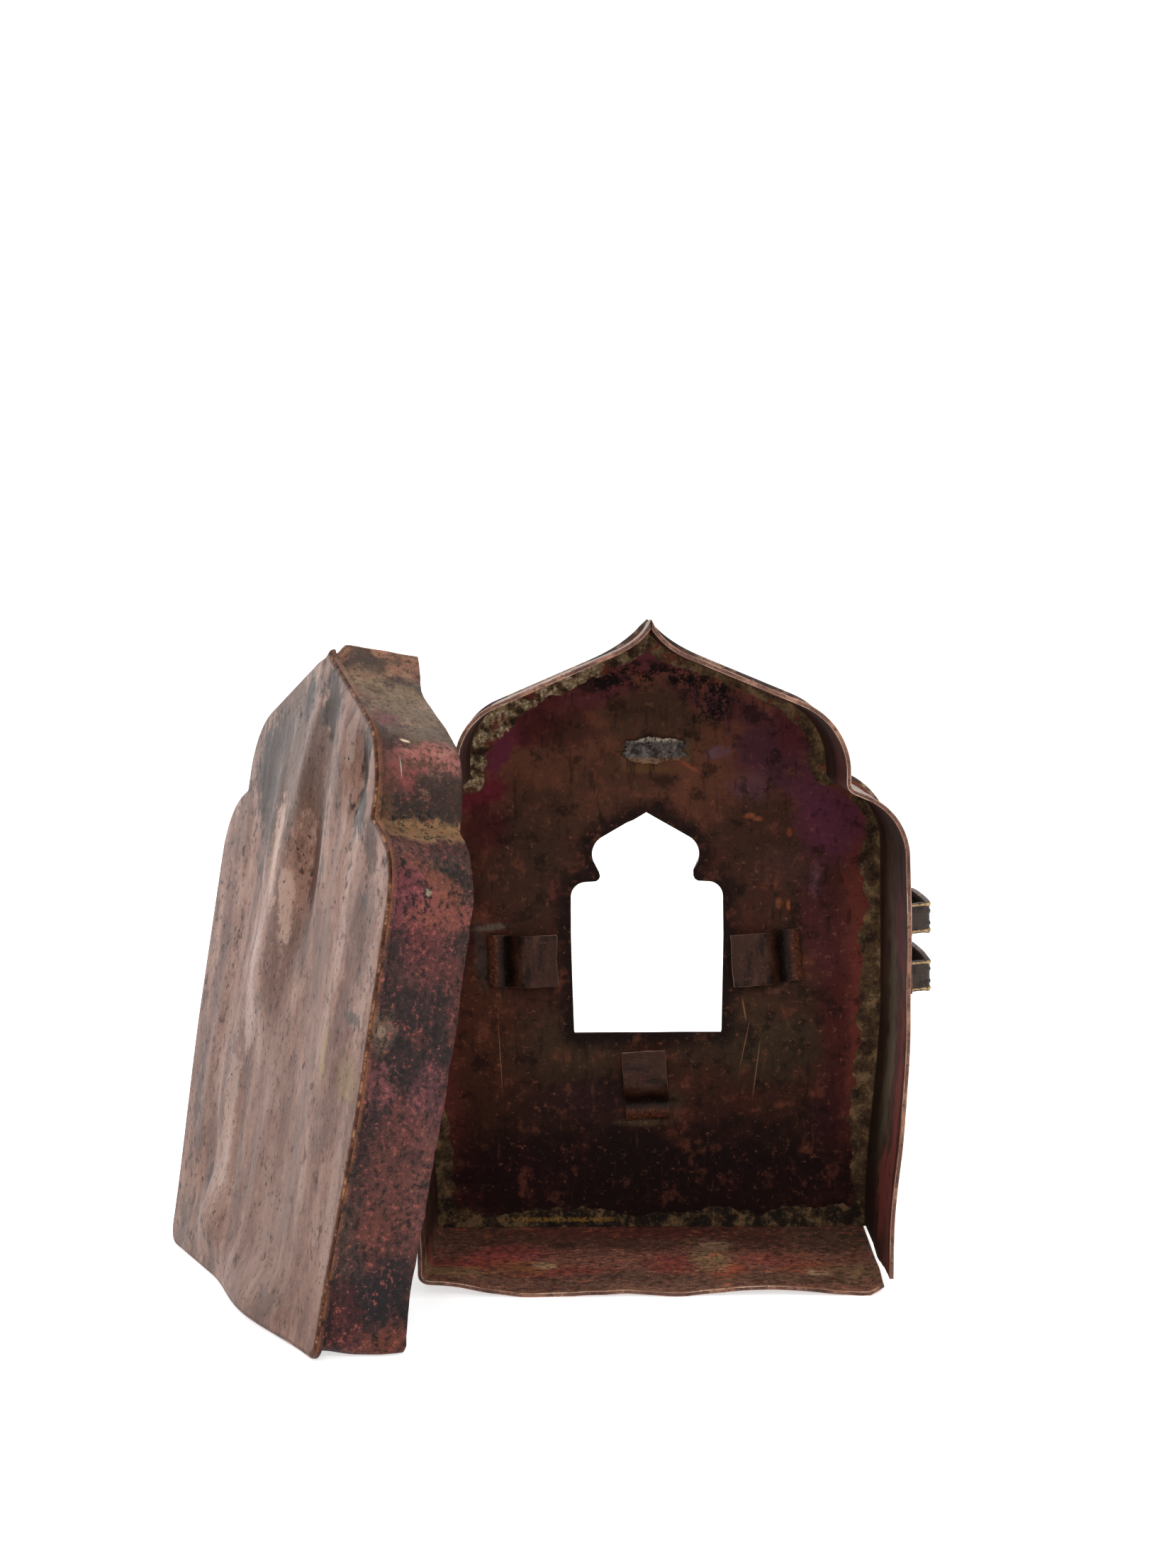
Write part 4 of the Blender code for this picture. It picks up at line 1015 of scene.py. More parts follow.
# %% [markdown]
# ## Crust along the joint
# The walls were soldered to the plate from inside, and dust and old soot have caked on the solder. The
# crust is a narrow lumpy strip that fills the corner, wider at the shoulders and on the right.

# %% Crust finish
def make_crust_finish():
    f = Finish("joint_crust", (76, 58, 40), roughness=0.85, metallic=0.0, on_blank=False, specular=0.2)
    broad = f.grain(7.0, detail=5.0, rough=0.65, seed=64.0)
    middle = f.grain(4.0, detail=6.0, rough=0.66, seed=61.0)
    fine, dust = f.grain(0.9, detail=5.0, rough=0.7, seed=62.0), f.grain(0.35, seed=63.0)
    x, z = f.part_of_place("X"), f.part_of_place("Z")
    f.washes(
        ((118, 98, 72), middle, 0.50, 0.62, 0.8), ((40, 26, 20), middle, 0.50, 0.38, 0.85),
    )
    pale = f.overlap(f.between(x, 8.0, -30.0), f.between(z, 108.0, 118.0))
    f.washes(
        ((132, 112, 84), middle, 0.44, 0.54, 0.8, pale),
        ((188, 176, 156), middle, 0.48, 0.56, 0.8, pale, f.between(fine, 0.50, 0.60)),
        ((96, 44, 36), broad, 0.54, 0.62, 0.8, f.between(z, 90.0, 108.0)),
        ((48, 34, 22), z, 46.0, 12.0, 0.4),
        ((20, 12, 9), middle, 0.56, 0.46, 0.8, f.between(z, 14.0, 3.0)),
    )
    across = f.overlap(f.between(x, -6.0, -12.0), f.between(x, -40.0, -34.0))
    up = f.overlap(f.between(z, 3.6, 3.0), f.between(z, 2.0, 2.5))
    f.washes(
        ((128, 96, 44), fine, 0.42, 0.52, 0.6, across, up), ((150, 132, 104), dust, 0.60, 0.72, 0.55),
        ((24, 15, 12), fine, 0.44, 0.36, 0.7),
        ((134, 78, 44), fine, 0.5, 0.6, 0.5, f.between(middle, 0.56, 0.64)),
    )
    f.relief((fine, 0.5), (dust, 0.2))
    return f.done(contrast=1.15, light=1.7)


crust_finish = make_crust_finish()


# %% Crust
# a place on the joint (across, up) and how far the crust reaches from it over the plate
CRUST_WIDTHS = (
    ((53, 3), 2.6), ((54, 15), 3.8), ((55.5, 40), 5.0), ((56.5, 70), 4.8), ((57.5, 92), 4.8),
    ((55, 106), 2.6), ((47, 113), 1.4), ((45, 118), 3.8), ((42, 128), 4.8), ((36, 133), 3.2),
    ((28, 137), 1.8), ((15, 143), 2.2), ((2, 150), 2.8), ((-4, 149), 2.8), ((-12, 144), 3.6),
    ((-25, 138), 3.4), ((-34, 134), 5.0), ((-41, 129), 6.2), ((-45, 120), 4.2), ((-46, 115), 4.0),
    ((-50, 111), 2.4), ((-56, 98), 2.0), ((-56.5, 70), 2.0), ((-55.5, 40), 2.8), ((-54, 15), 5.0),
    ((-53, 3), 3.4), ((-40, 1), 3.4), ((-20, 1), 4.4), ((0, 1), 3.0), ((25, 1), 4.2), ((45, 1), 4.8),
)


def evenly(points, count):
    """The same closed line with evenly spaced points, and the direction into the shell at each."""
    run = lengths(points + points[:1])
    xs, zs = zip(*(points + points[:1]))
    stops = np.linspace(0.0, run[-1], count + 1)
    x, z = np.interp(stops, run, xs), np.interp(stops, run, zs)
    dx, dz = np.gradient(x), np.gradient(z)
    size = np.hypot(dx, dz)
    return list(zip(x, z)), list(zip(-dz / size, dx / size)), run[-1]


def make_crust(count=900, rows=13):
    line, inward, total = evenly(inner_joint(), count)

    def nearest(spot):
        return min(range(count), key=lambda i: math.dist(line[i], spot))

    marks, wides = zip(*sorted((nearest(spot), wide) for spot, wide in CRUST_WIDTHS))
    widths = np.interp(range(count), marks, wides, period=count)

    def place(u, v):
        i = round(u * count) % count
        (x, z), (nx, nz) = line[i], inward[i]
        ragged = 1.0
        for amount, size, seed in ((0.45, 11.0, 20), (0.28, 3.4, 21), (0.16, 1.2, 22)):
            ragged += amount * unevenness(x, 0.0, z, size, seed)
        wide = widths[i] * max(ragged, 0.3)
        high = 0.25 + 0.22 * wide * (1.0 + 0.5 * unevenness(x, 3.0, z, 2.4, 23))
        off = wide * v - 0.2 * (1.0 - v)
        px, pz = x + nx * off, z + nz * off
        crumbs = 0.14 * abs(unevenness(px, 5.0, pz, 0.8, 24)) + 0.18 * abs(unevenness(px, 9.0, pz, 1.9, 25))
        rise = high * (1.0 - v) ** 2.2 + crumbs * smooth(0.0, 0.12, 1.0 - v) + 0.05
        return px, WALL_END + 0.12 - rise, pz

    crust = bent_sheet(
        "joint_crust", count, rows, place, lambda u, v: (u * total, v * 5.0),
        thickness=0.2, arris=0.0, closed=True, even=False,
    )
    settle(crust, None, [crust_finish, crust_finish, crust_finish])


make_crust()


# %% [markdown]
# ## Clips
# Three strips are soldered by one end to the plate. The foot lies flat, the strip dips at the bend, and
# the free tongue stands off the plate, so that it could hold the edge of an image in the window.

# %% Clip finish
def make_clip_finish():
    f = Finish("clip_patina", (66, 43, 33), roughness=0.5, metallic=0.3, specular=0.2)
    along = f.part_of_place("X")
    middle = f.grain((2.0, 7.0, 1.0), detail=5.0, seed=71.0)
    fine = f.grain(0.7, detail=5.0, rough=0.7, seed=72.0)
    f.washes(
        ((36, 22, 16), middle, 0.5, 0.38, 0.8), ((86, 64, 54), middle, 0.52, 0.66, 0.6),
        ((96, 56, 34), fine, 0.4, 0.55, 0.7, f.between(along, 4.0, 2.0)),
        # painted shade on the bend, where the strip rises off the plate and turns away from the light
        ((18, 12, 10), along, 7.2, 4.6, 0.8, f.between(along, 1.5, 4.0)),
        ((130, 100, 84), fine, 0.58, 0.70, 0.5), ((30, 19, 14), fine, 0.44, 0.34, 0.6),
    )
    f.relief((fine, 0.15), (middle, 0.3))
    return f.done(contrast=1.35, light=1.9)


clip_finish = make_clip_finish()


# %% Clips
CLIP_LENGTH, CLIP_FOOT, CLIP_RISE, CLIP_SHEET = 17.6, 3.6, 3.4, 0.7
CLIP_RISE_END = CLIP_FOOT + 5.5
SIDE_CLIP_WIDTH, LOWER_CLIP_WIDTH = 13.2, 11.2


def clip_height(s):
    """How far a clip stands off the plate, at a distance from the end of its foot."""
    foot = 0.45 * math.sin(math.pi * min(s / CLIP_FOOT, 1.0))
    rise = CLIP_RISE * smooth(CLIP_FOOT, CLIP_RISE_END, s)
    return foot + rise - 0.5 * smooth(CLIP_RISE_END, CLIP_LENGTH, s)


def make_clip(name, foot_x, foot_z, direction, width, seed):
    turn = math.radians(direction)
    cos, sin = math.cos(turn), math.sin(turn)
    first_y = WALL_END - CLIP_SHEET / 2

    def place(u, v):
        s, w = u * CLIP_LENGTH, (v - 0.5) * width
        s += 0.35 * unevenness(0.0, w, s, 5.0, seed) * (1.0 if u > 0.5 else 0.5)
        w += 0.25 * unevenness(s, 4.0, w * 0.1, 4.0, seed + 1)
        lift = clip_height(u * CLIP_LENGTH)
        lift += 0.12 * unevenness(s, w, 0.0, 4.0, seed + 2) * smooth(0.1, 0.4, u)
        return foot_x + cos * s - sin * w, first_y - lift, foot_z + sin * s + cos * w

    clip = bent_sheet(
        name + "_strip", 46, 26, place, lambda u, v: (u * CLIP_LENGTH, v * width),
        thickness=CLIP_SHEET, arris=0.14,
    )
    settle(clip, name, [clip_finish, clip_finish, worn_edge, worn_edge])


make_clip("clip_left", -40.7, 68.8, 1.5, SIDE_CLIP_WIDTH, 31)
make_clip("clip_right", 38.3, 70.3, 185.0, SIDE_CLIP_WIDTH, 35)
make_clip("clip_lower", -0.6, 28.6, 93.5, LOWER_CLIP_WIDTH, 39)


# %% [markdown]
# ## Solder left by the lost clip
# A fourth clip once sat above the window. Its solder is still there: a grey, lumpy patch. A ball of mesh
# is pressed flat and roughened.

# %% Solder
SOLDER_ACROSS, SOLDER_UP, SOLDER_HALF_WIDTH, SOLDER_HALF_HEIGHT = 1.6, 122.0, 7.4, 3.2


def make_solder_finish():
    f = Finish("grey_solder", (92, 84, 80), roughness=0.55, metallic=0.4, on_blank=False)
    middle, fine = f.grain(2.2, detail=5.0, seed=81.0), f.grain(0.6, detail=4.0, rough=0.7, seed=82.0)
    height = f.part_of_place("Z")
    f.washes(
        ((128, 118, 112), middle, 0.5, 0.64, 0.7), ((44, 38, 38), middle, 0.47, 0.38, 0.85),
        ((40, 32, 30), fine, 0.46, 0.36, 0.85),
        ((176, 164, 148), fine, 0.42, 0.55, 0.8, f.between(height, 123.6, 124.8)),
        ((128, 92, 56), fine, 0.4, 0.55, 0.8, f.between(height, 120.6, 119.6)),
    )
    f.relief((fine, 0.35))
    return f.done(contrast=1.2, light=2.0)


solder_finish = make_solder_finish()


def make_solder():
    bpy.ops.object.select_all(action="DESELECT")
    bpy.ops.mesh.primitive_ico_sphere_add(subdivisions=6, radius=1.0)
    lump = bpy.context.active_object
    lump.name = lump.data.name = "solder_scar"
    for vertex in lump.data.vertices:
        x, y, z = vertex.co
        ragged = 1.0 + 0.22 * unevenness(x * 2.4, 0.0, z * 2.4, 1.0, 45)
        ragged += 0.12 * unevenness(x * 7.0, 0.0, z * 7.0, 1.0, 46)
        squared = (abs(x) ** 3 + abs(z) ** 3) ** (1 / 3) / max(math.hypot(x, z), 1e-6)
        grip = max(squared * ragged, 0.7)
        wide = (SOLDER_HALF_WIDTH + 0.5 * unevenness(0.0, 0.0, z * 3, 1.0, 41)) / grip
        high = (SOLDER_HALF_HEIGHT + 0.35 * unevenness(x * 7, 0.0, 0.0, 1.6, 42)) / grip
        lumps = 0.8 * abs(unevenness(x * 7, 0.0, z * 3, 1.5, 43))
        lumps += 0.25 * unevenness(x * 7, 0.0, z * 3, 0.5, 44)
        front = -(0.4 + lumps) * max(0.0, -y) ** 0.35 if y < 0 else 0.28 * y
        at = (SOLDER_ACROSS + x * wide, WALL_END - 0.3 + front, SOLDER_UP + z * high)
        vertex.co = Vector(at) * MM
    settle(lump, "solder_patch", [solder_finish])


make_solder()


# %% [markdown]
# ## Strap loops
# The strap ran through loops on the walls. Each is a strip with two raised lines along each edge, bent
# like a staple and soldered by its feet. One function makes all four; the upper pair and the lower pair
# each have their own unevenness.

# %% Loop finish
LOOP_LENGTH, LOOP_FOOT, LOOP_REACH, LOOP_BEND, LOOP_BAND = 34.0, 4.0, 4.6, 1.2, 7.0


def make_loop_finish():
    f = Finish("loop_patina", (60, 50, 45), roughness=0.45, metallic=0.5)
    across = f.part_of_place("Y")
    middle, fine = f.grain(4.0, detail=5.0, seed=91.0), f.grain(0.6, detail=4.0, rough=0.7, seed=92.0)
    from_edge = f.maths("PINGPONG", across, LOOP_BAND / 2)
    from_line = f.maths("PINGPONG", f.maths("SUBTRACT", from_edge, 0.45), 1.7)
    lines = f.between(f.maths("ABSOLUTE", from_line), 0.42, 0.12)
    f.washes(
        ((26, 21, 20), middle, 0.52, 0.40, 0.8), ((186, 158, 116), fine, 0.36, 0.52, 0.75, lines),
        ((96, 74, 60), fine, 0.62, 0.72, 0.6),
    )
    f.relief((lines, 0.3), (fine, 0.12))
    return f.done(contrast=1.15, light=1.3)


loop_finish = make_loop_finish()


# %% Loops
def loop_path():
    """Points (out from the wall, along it) from foot to foot, with a slightly bowed back between."""
    half, r, back = LOOP_LENGTH / 2, LOOP_BEND, LOOP_REACH - LOOP_BEND
    bend = np.linspace(0.2, math.pi / 2, 6)
    path = [(0.0, -half - LOOP_FOOT + i * (LOOP_FOOT - r) / 4) for i in range(5)]
    path += [(r - r * math.cos(a), -half - r + r * math.sin(a)) for a in bend]
    path += [(blend(r, back, i / 4), -half) for i in range(1, 5)]
    path += [(back + r * math.sin(a), -half + r - r * math.cos(a)) for a in bend]
    for i in range(1, 20):
        t = i / 20
        path.append((LOOP_REACH + 0.3 * math.sin(math.pi * t), blend(-half + r, half - r, t)))
    path += [(back + r * math.cos(a), half - r + r * math.sin(a)) for a in np.linspace(0.0, math.pi / 2, 6)]
    path += [(blend(back, r, i / 4), half) for i in range(1, 5)]
    path += [(r - r * math.sin(a), half + r - r * math.cos(a)) for a in bend]
    path += [(0.0, half + r + i * (LOOP_FOOT - r) / 4) for i in range(1, 5)]
    return path


def make_loop(name, side, height, seed):
    path = loop_path()
    run, last = lengths(path), len(path) - 1
    middle_y = NEAR + 13.5 + LOOP_LENGTH / 2

    def place(u, v):
        out, along = path[round(u * last)]
        y = middle_y + along
        share = (y - NEAR) / (WALL_END - NEAR)
        z = height + (v - 0.5) * LOOP_BAND + 0.1 * unevenness(along, v * 3, 0.0, 6.0, seed)
        z += 0.35 * smooth(0.0, LOOP_REACH, out)
        skin = side_at(grown(RIGHT, FLARE * share), height) + GAP + SHEET / 2
        edge = min(v, 1.0 - v) * LOOP_BAND
        bead = 0.3 * math.exp(-((edge - 0.45) / 0.32) ** 2) + 0.22 * math.exp(-((edge - 2.1) / 0.3) ** 2)
        bead *= smooth(0.5, 2.0, out)
        return side * (skin + out + bead + 0.06 * unevenness(along, z, 0.0, 5.0, seed + 1)), y, z

    def flat(u, v):
        return run[round(u * last)] + 60 * seed, v * LOOP_BAND

    loop = bent_sheet(name.replace("strap_loop", "strap_staple"), last, 30, place, flat, arris=0.15)
    settle(loop, name, [loop_finish, loop_finish, worn_edge, arris_finish])


for side_name, side in (("right", 1.0), ("left", -1.0)):
    for level, height in (("upper", 84.0), ("lower", 70.6)):
        make_loop(f"strap_loop_{side_name}_{level}", side, height, 3 if level == "upper" else 5)


# %% [markdown]
# ## Where the cover stands
# The back cover is a shallow tray. It stands on its base, turned away from the shell and leaning back on
# nothing but its own weight. Its pieces are worked out flat, with the face in the XZ plane, and then
# turned and moved to where it stands.

# %% Cover's place
COVER_DEPTH, COVER_EDGE, COVER_LIP, COVER_LIFT = 19.3, 1.0, 0.6, SHEET / 2 + 0.2
LAP_END = SHEET / 2 + COVER_EDGE + COVER_LIP
# leaning back, tipped a little to the side and turned away
COVER_TURNING = Euler([math.radians(turn) for turn in (-9.0, 1.7, -63.4)], "XYZ").to_matrix()
COVER_HEIGHT, COVER_GROWTH, COVER_TIP_SLOPE = 151.2, 0.8, math.radians(42.0)
COVER_RIGHT, COVER_LEFT = (
    replace(grown(arch, COVER_GROWTH), height=COVER_HEIGHT, tip_slope=COVER_TIP_SLOPE)
    for arch in (RIGHT, LEFT)
)


# the shell's left front edge meets the cover this far across, and reaches this far into its tray
MEETS_ACROSS, REACHES_IN, ORIGIN_BELOW_GROUND = 15.4, 1.8, 2.2


def cover_origin():
    """Where the cover's own origin stands, worked out from the place where the shell's edge reaches in."""
    row = COVER_TURNING[2]
    local = Vector((MEETS_ACROSS, COVER_DEPTH - REACHES_IN, 0.0))
    local.z = (RIGHT.spring + ORIGIN_BELOW_GROUND - row[0] * local.x - row[1] * local.y) / row[2]
    return Vector((-RIGHT.wide, NEAR, RIGHT.spring)) - COVER_TURNING @ local


COVER_ORIGIN = cover_origin()


def stood(x, y, z):
    """A place on the cover, moved to where the cover stands."""
    return COVER_TURNING @ Vector((x, y, z)) + COVER_ORIGIN


def ground_height(x, y):
    """The height, in the cover's own measure, at which a place on it meets the ground."""
    row = COVER_TURNING[2]
    return (-COVER_ORIGIN[2] - row[0] * x - row[1] * y) / row[2] + 0.1


print("cover's own origin stands at", [round(c, 1) for c in COVER_ORIGIN])


# %% Cover outline
def cover_loop(inward, y):
    """The cover's closed outline at a depth y: tip, right side, base, left side, tip."""
    right, left = (grown(arch, -inward, tip_by=-inward) for arch in (COVER_RIGHT, COVER_LEFT))
    corner = (3.4 - inward) * (1.0 - 0.6 * smooth(LAP_END, COVER_DEPTH, y))
    lap_rise = (COVER_LIFT + SHEET / 2) * (1.0 - smooth(LAP_END, LAP_END + 8.0, y))
    low_right = ground_height(right.base, y) + inward + lap_rise
    low_left = ground_height(-left.base, y) + inward + lap_rise
    up_right = half_outline(right, start=low_right + corner, rises=60)
    up_left = mirrored(half_outline(left, start=low_left + corner, rises=60))
    turn_right = arc(right.base - corner, low_right + corner, corner, 0.0, -math.pi / 2, 8)[1:]
    turn_left = arc(-left.base + corner, low_left + corner, corner, 1.5 * math.pi, math.pi, 8)[:-1]
    start, stop = turn_right[-1], turn_left[0]
    base = [(blend(start[0], stop[0], i / 56), blend(start[1], stop[1], i / 56)) for i in range(1, 56)]
    return up_right[::-1] + turn_right + base + turn_left + up_left


# %% [markdown]
# ## The cover's face
# The face has been pressed, dropped and straightened many times. Its dents are soft ridges and valleys
# that run mostly up and down. Each is a bell-shaped push, in or out, at a measured place, and they add up.

# %% Dents
# centre across, centre up, half-width, half-length, turn in degrees, push out in millimetres
DENTS = (
    (-7.5, 104.0, 7.0, 24.0, 14.0, 1.88), (4.5, 100.0, 6.0, 22.0, 2.0, -3.0),
    (22.5, 131.0, 6.0, 12.0, 6.0, 1.62), (34.5, 124.0, 7.0, 13.0, 12.0, -2.75),
    (-12.0, 74.0, 8.0, 10.0, -25.0, 1.75), (18.0, 62.0, 16.0, 40.0, 4.0, -1.75),
    (-24.0, 14.0, 12.0, 9.0, 35.0, 2.25), (-34.0, 24.0, 9.0, 12.0, 20.0, -2.0),
    (34.0, 66.0, 12.0, 46.0, 3.0, 1.38), (-34.0, 88.0, 11.0, 26.0, 5.0, -1.5),
    (-20.0, 112.0, 3.2, 16.0, 10.0, 0.69), (-2.0, 128.0, 4.0, 12.0, 8.0, 0.75),
    (9.0, 131.0, 3.0, 12.0, 4.0, -0.75), (-26.0, 50.0, 5.0, 26.0, 6.0, 0.62),
    (-14.0, 40.0, 4.0, 22.0, 3.0, -0.62), (4.0, 34.0, 5.0, 26.0, 5.0, 0.69),
    (22.0, 24.0, 5.0, 18.0, 2.0, -0.62), (28.0, 100.0, 3.4, 22.0, 3.0, 0.62),
    (-42.0, 60.0, 4.0, 30.0, 2.0, 0.62),
)


def dent_push(x, z):
    """How far the dents and the hammering push the face out at a place."""
    push = 0.0
    for centre_x, centre_z, half_width, half_length, turn, depth in DENTS:
        a = math.radians(turn)
        dx, dz = x - centre_x, z - centre_z
        across = (dx * math.cos(a) - dz * math.sin(a)) / half_width
        up = (dx * math.sin(a) + dz * math.cos(a)) / half_length
        push += depth * math.exp(-(across * across + up * up))
    push += 0.22 * noise.noise(Vector((x / 5.0, z / 26.0, 3.0)))
    return push + 0.12 * noise.noise(Vector((x / 2.2, z / 9.0, 8.0)))


def base_push(x, z):
    """How far the base bulges in the middle."""
    across = 1.0 - smooth(0.0, 36.0, abs(x - 16.0))
    return 3.6 * across * (1.0 - smooth(5.4, 18.0, z))


# %% Face finish
# place on the face (across, up), half-lengths, turn, colour, strength
FACE_PATCHES_AND_PAINTED_LIGHT = (
    # the pale rows at (-13, 103), (-4, 92), (26, 132), (38, 87), (-17, 70) and (-22, 40) are painted
    # highlights on ridges, the pale row at (53, 36) a painted highlight on the rounded right edge, and the
    # brown rows at (5.5, 101) and (7, 85) brown patina deepened by painted shade in the valley right of the
    # big ridge
    ((-14, 126), (32, 20), 0, (104, 80, 68), 0.7), ((-26, 118), (9, 16), 4, (80, 60, 50), 0.7),
    ((-32, 122), (6.5, 13), 2, (70, 50, 40), 0.95), ((-22, 131), (6, 4.5), 0, (76, 56, 46), 0.9),
    ((-8, 140), (3.2, 5), 8, (60, 43, 34), 0.95), ((8, 139), (5.5, 7), 14, (68, 50, 40), 0.95),
    ((12, 132), (5, 4), 0, (104, 88, 80), 0.6), ((-15, 133), (6, 8), 0, (120, 104, 96), 0.5),
    ((35, 125), (3.6, 12), -6, (56, 43, 35), 0.95), ((38, 117), (3.4, 5), 0, (56, 41, 33), 0.95),
    ((46, 111), (3.5, 6), 24, (84, 54, 42), 0.8), ((5.5, 101), (3.4, 11), 3, (98, 62, 46), 0.9),
    ((7, 85), (3, 9), 3, (106, 76, 62), 0.75), ((15, 104), (1.3, 3.6), 0, (92, 90, 88), 0.75),
    ((-28, 98), (1.0, 4.5), 3, (84, 78, 76), 0.85), ((46.5, 98), (1.8, 2.4), 0, (84, 78, 76), 0.8),
    ((10, 110), (2, 4), 0, (104, 88, 82), 0.6), ((-13, 103), (4.2, 13), 12, (196, 170, 156), 0.8),
    ((-4, 92), (2.8, 9), 8, (194, 168, 154), 0.75), ((26, 132), (1.8, 6.5), 3, (178, 156, 146), 0.7),
    ((38, 87), (1.8, 8), 2, (182, 158, 148), 0.7), ((-17, 70), (4.5, 13), 2, (186, 164, 154), 0.7),
    ((-22, 40), (4, 20), 3, (184, 160, 148), 0.7), ((-47, 72), (3, 26), 0, (118, 88, 82), 0.55),
    ((45, 80), (4, 18), 2, (118, 86, 76), 0.65), ((50, 92), (3.5, 14), 2, (104, 76, 66), 0.6),
    ((49, 74.5), (4, 1.3), 0, (92, 82, 76), 0.75), ((52, 62), (5, 4.5), 4, (150, 128, 96), 0.65),
    ((37.5, 65), (1.7, 6), 3, (164, 142, 104), 0.8), ((-33, 22), (2.2, 5), 12, (84, 72, 68), 0.75),
    ((-44, 32), (3, 8), 0, (106, 84, 80), 0.6), ((-49, 40), (2.4, 9), 0, (90, 74, 70), 0.65),
    ((28, 8), (4.5, 4), 30, (92, 80, 74), 0.6), ((11, 2), (5, 2), 40, (92, 84, 76), 0.6),
    ((16, 22), (22, 24), 0, (142, 114, 102), 0.5), ((-45, 8), (5, 8), 0, (112, 94, 88), 0.6),
    ((53, 36), (2.5, 22), 0, (176, 150, 138), 0.6), ((2, 54), (10, 18), 0, (140, 114, 104), 0.4),
)


def make_face_outside():
    f = Finish("cover_face_patina", (154, 122, 108), roughness=0.5, metallic=0.4, specular=0.12)
    crease = f.measured("from_crease")
    broad = f.grain((9.0, 30.0, 1.0), detail=5.0, rough=0.62, seed=101.0)
    streak = f.grain((2.8, 7.5, 1.0), detail=6.0, rough=0.7, seed=102.0)
    thin = f.grain((0.7, 2.0, 1.0), detail=5.0, rough=0.66, seed=107.0)
    middle = f.grain((3.2, 4.6, 1.0), detail=7.0, rough=0.74, seed=104.0)
    fine = f.grain((0.8, 1.3, 1.0), detail=6.0, rough=0.75, seed=103.0)
    pits = f.grain((0.9, 1.7, 1.0), detail=2.0, rough=0.5, seed=108.0)
    dust = f.grain(0.38, detail=3.0, rough=0.7, seed=105.0)
    f.washes(
        ((122, 97, 88), broad, 0.52, 0.40, 0.7), ((170, 142, 128), broad, 0.52, 0.64, 0.6),
        ((104, 80, 72), streak, 0.48, 0.36, 0.5), ((174, 147, 134), streak, 0.54, 0.68, 0.4),
        ((92, 68, 58), middle, 0.47, 0.33, 0.75), ((178, 152, 140), middle, 0.56, 0.70, 0.4),
    )
    # besides patina, these patches paint highlights on ridges and shade in one valley
    f.patches(FACE_PATCHES_AND_PAINTED_LIGHT, ragged=0.8, soft=0.3, grain=middle)
    f.washes(
        ((70, 54, 48), middle, 0.42, 0.30, 0.5), ((96, 78, 71), thin, 0.42, 0.30, 0.55),
        ((188, 166, 156), thin, 0.60, 0.74, 0.35),
    )
    more_on_left = f.between(f.part_of_place("X"), 30.0, -40.0, 0.0, 0.035)
    pitted = f.between(f.maths("ADD", pits, more_on_left), 0.655, 0.70)
    f.washes(
        ((56, 45, 42), middle, 0.62, 0.50, 0.85, pitted), ((72, 58, 54), fine, 0.43, 0.31, 0.7),
        ((196, 172, 160), fine, 0.60, 0.72, 0.4), ((64, 50, 47), dust, 0.36, 0.27, 0.4),
    )
    rubbed = f.frayed(crease, fine, 1.6)
    f.wash((96, 58, 40), f.between(rubbed, 2.4, 1.5), 0.85)
    on_crease = f.between(f.maths("ABSOLUTE", f.maths("SUBTRACT", crease, 0.5)), 0.5, 0.15)
    f.washes(
        ((208, 164, 128), middle, 0.5, 0.62, 0.6, on_crease),
        ((40, 29, 26), middle, 0.50, 0.40, 0.8, f.between(rubbed, 1.6, 0.9)),
    )
    f.wash((216, 206, 184), f.spot((57.2, 15), (0.5, 6.5), turn=4, ragged=0.25), 0.9)
    f.gloss(0.42, f.between(broad, 0.50, 0.64))
    f.gloss(0.62, f.between(middle, 0.44, 0.34))
    f.relief((fine, 0.16), (streak, 0.14), (thin, 0.07), (middle, 0.2), (pitted, -0.16))
    return f.done(contrast=1.3, light=0.84)


def make_cover_inside():
    f = Finish("cover_inside_patina", (58, 37, 30), roughness=0.6, metallic=0.2, specular=0.3)
    broad, middle = f.grain(24.0, detail=4.0, seed=111.0), f.grain(6.0, detail=7.0, rough=0.68, seed=112.0)
    fine = f.grain(1.1, detail=6.0, rough=0.72, seed=113.0)
    f.washes(
        ((42, 28, 23), broad, 0.52, 0.40, 0.8), ((84, 40, 42), middle, 0.52, 0.64, 0.6),
        ((98, 80, 58), fine, 0.60, 0.70, 0.5), ((24, 16, 14), fine, 0.40, 0.30, 0.6),
    )
    f.relief((fine, 0.2), (middle, 0.4))
    return f.done(contrast=1.2, light=2.0)


face_outside, cover_inside = make_face_outside(), make_cover_inside()


# %% Rim finish
rim_line = cover_loop(SHEET / 2 + GAP, 6.0)
rim_run = lengths(rim_line)


def run_at(height):
    """How far along the rim, from the tip and down the right side, a height is reached."""
    half = rim_run[-1] / 2
    right = [(-z, run) for (x, z), run in zip(rim_line, rim_run) if x > 0.5 and z > 6.0 and run < half]
    return float(np.interp(-height, *zip(*right)))


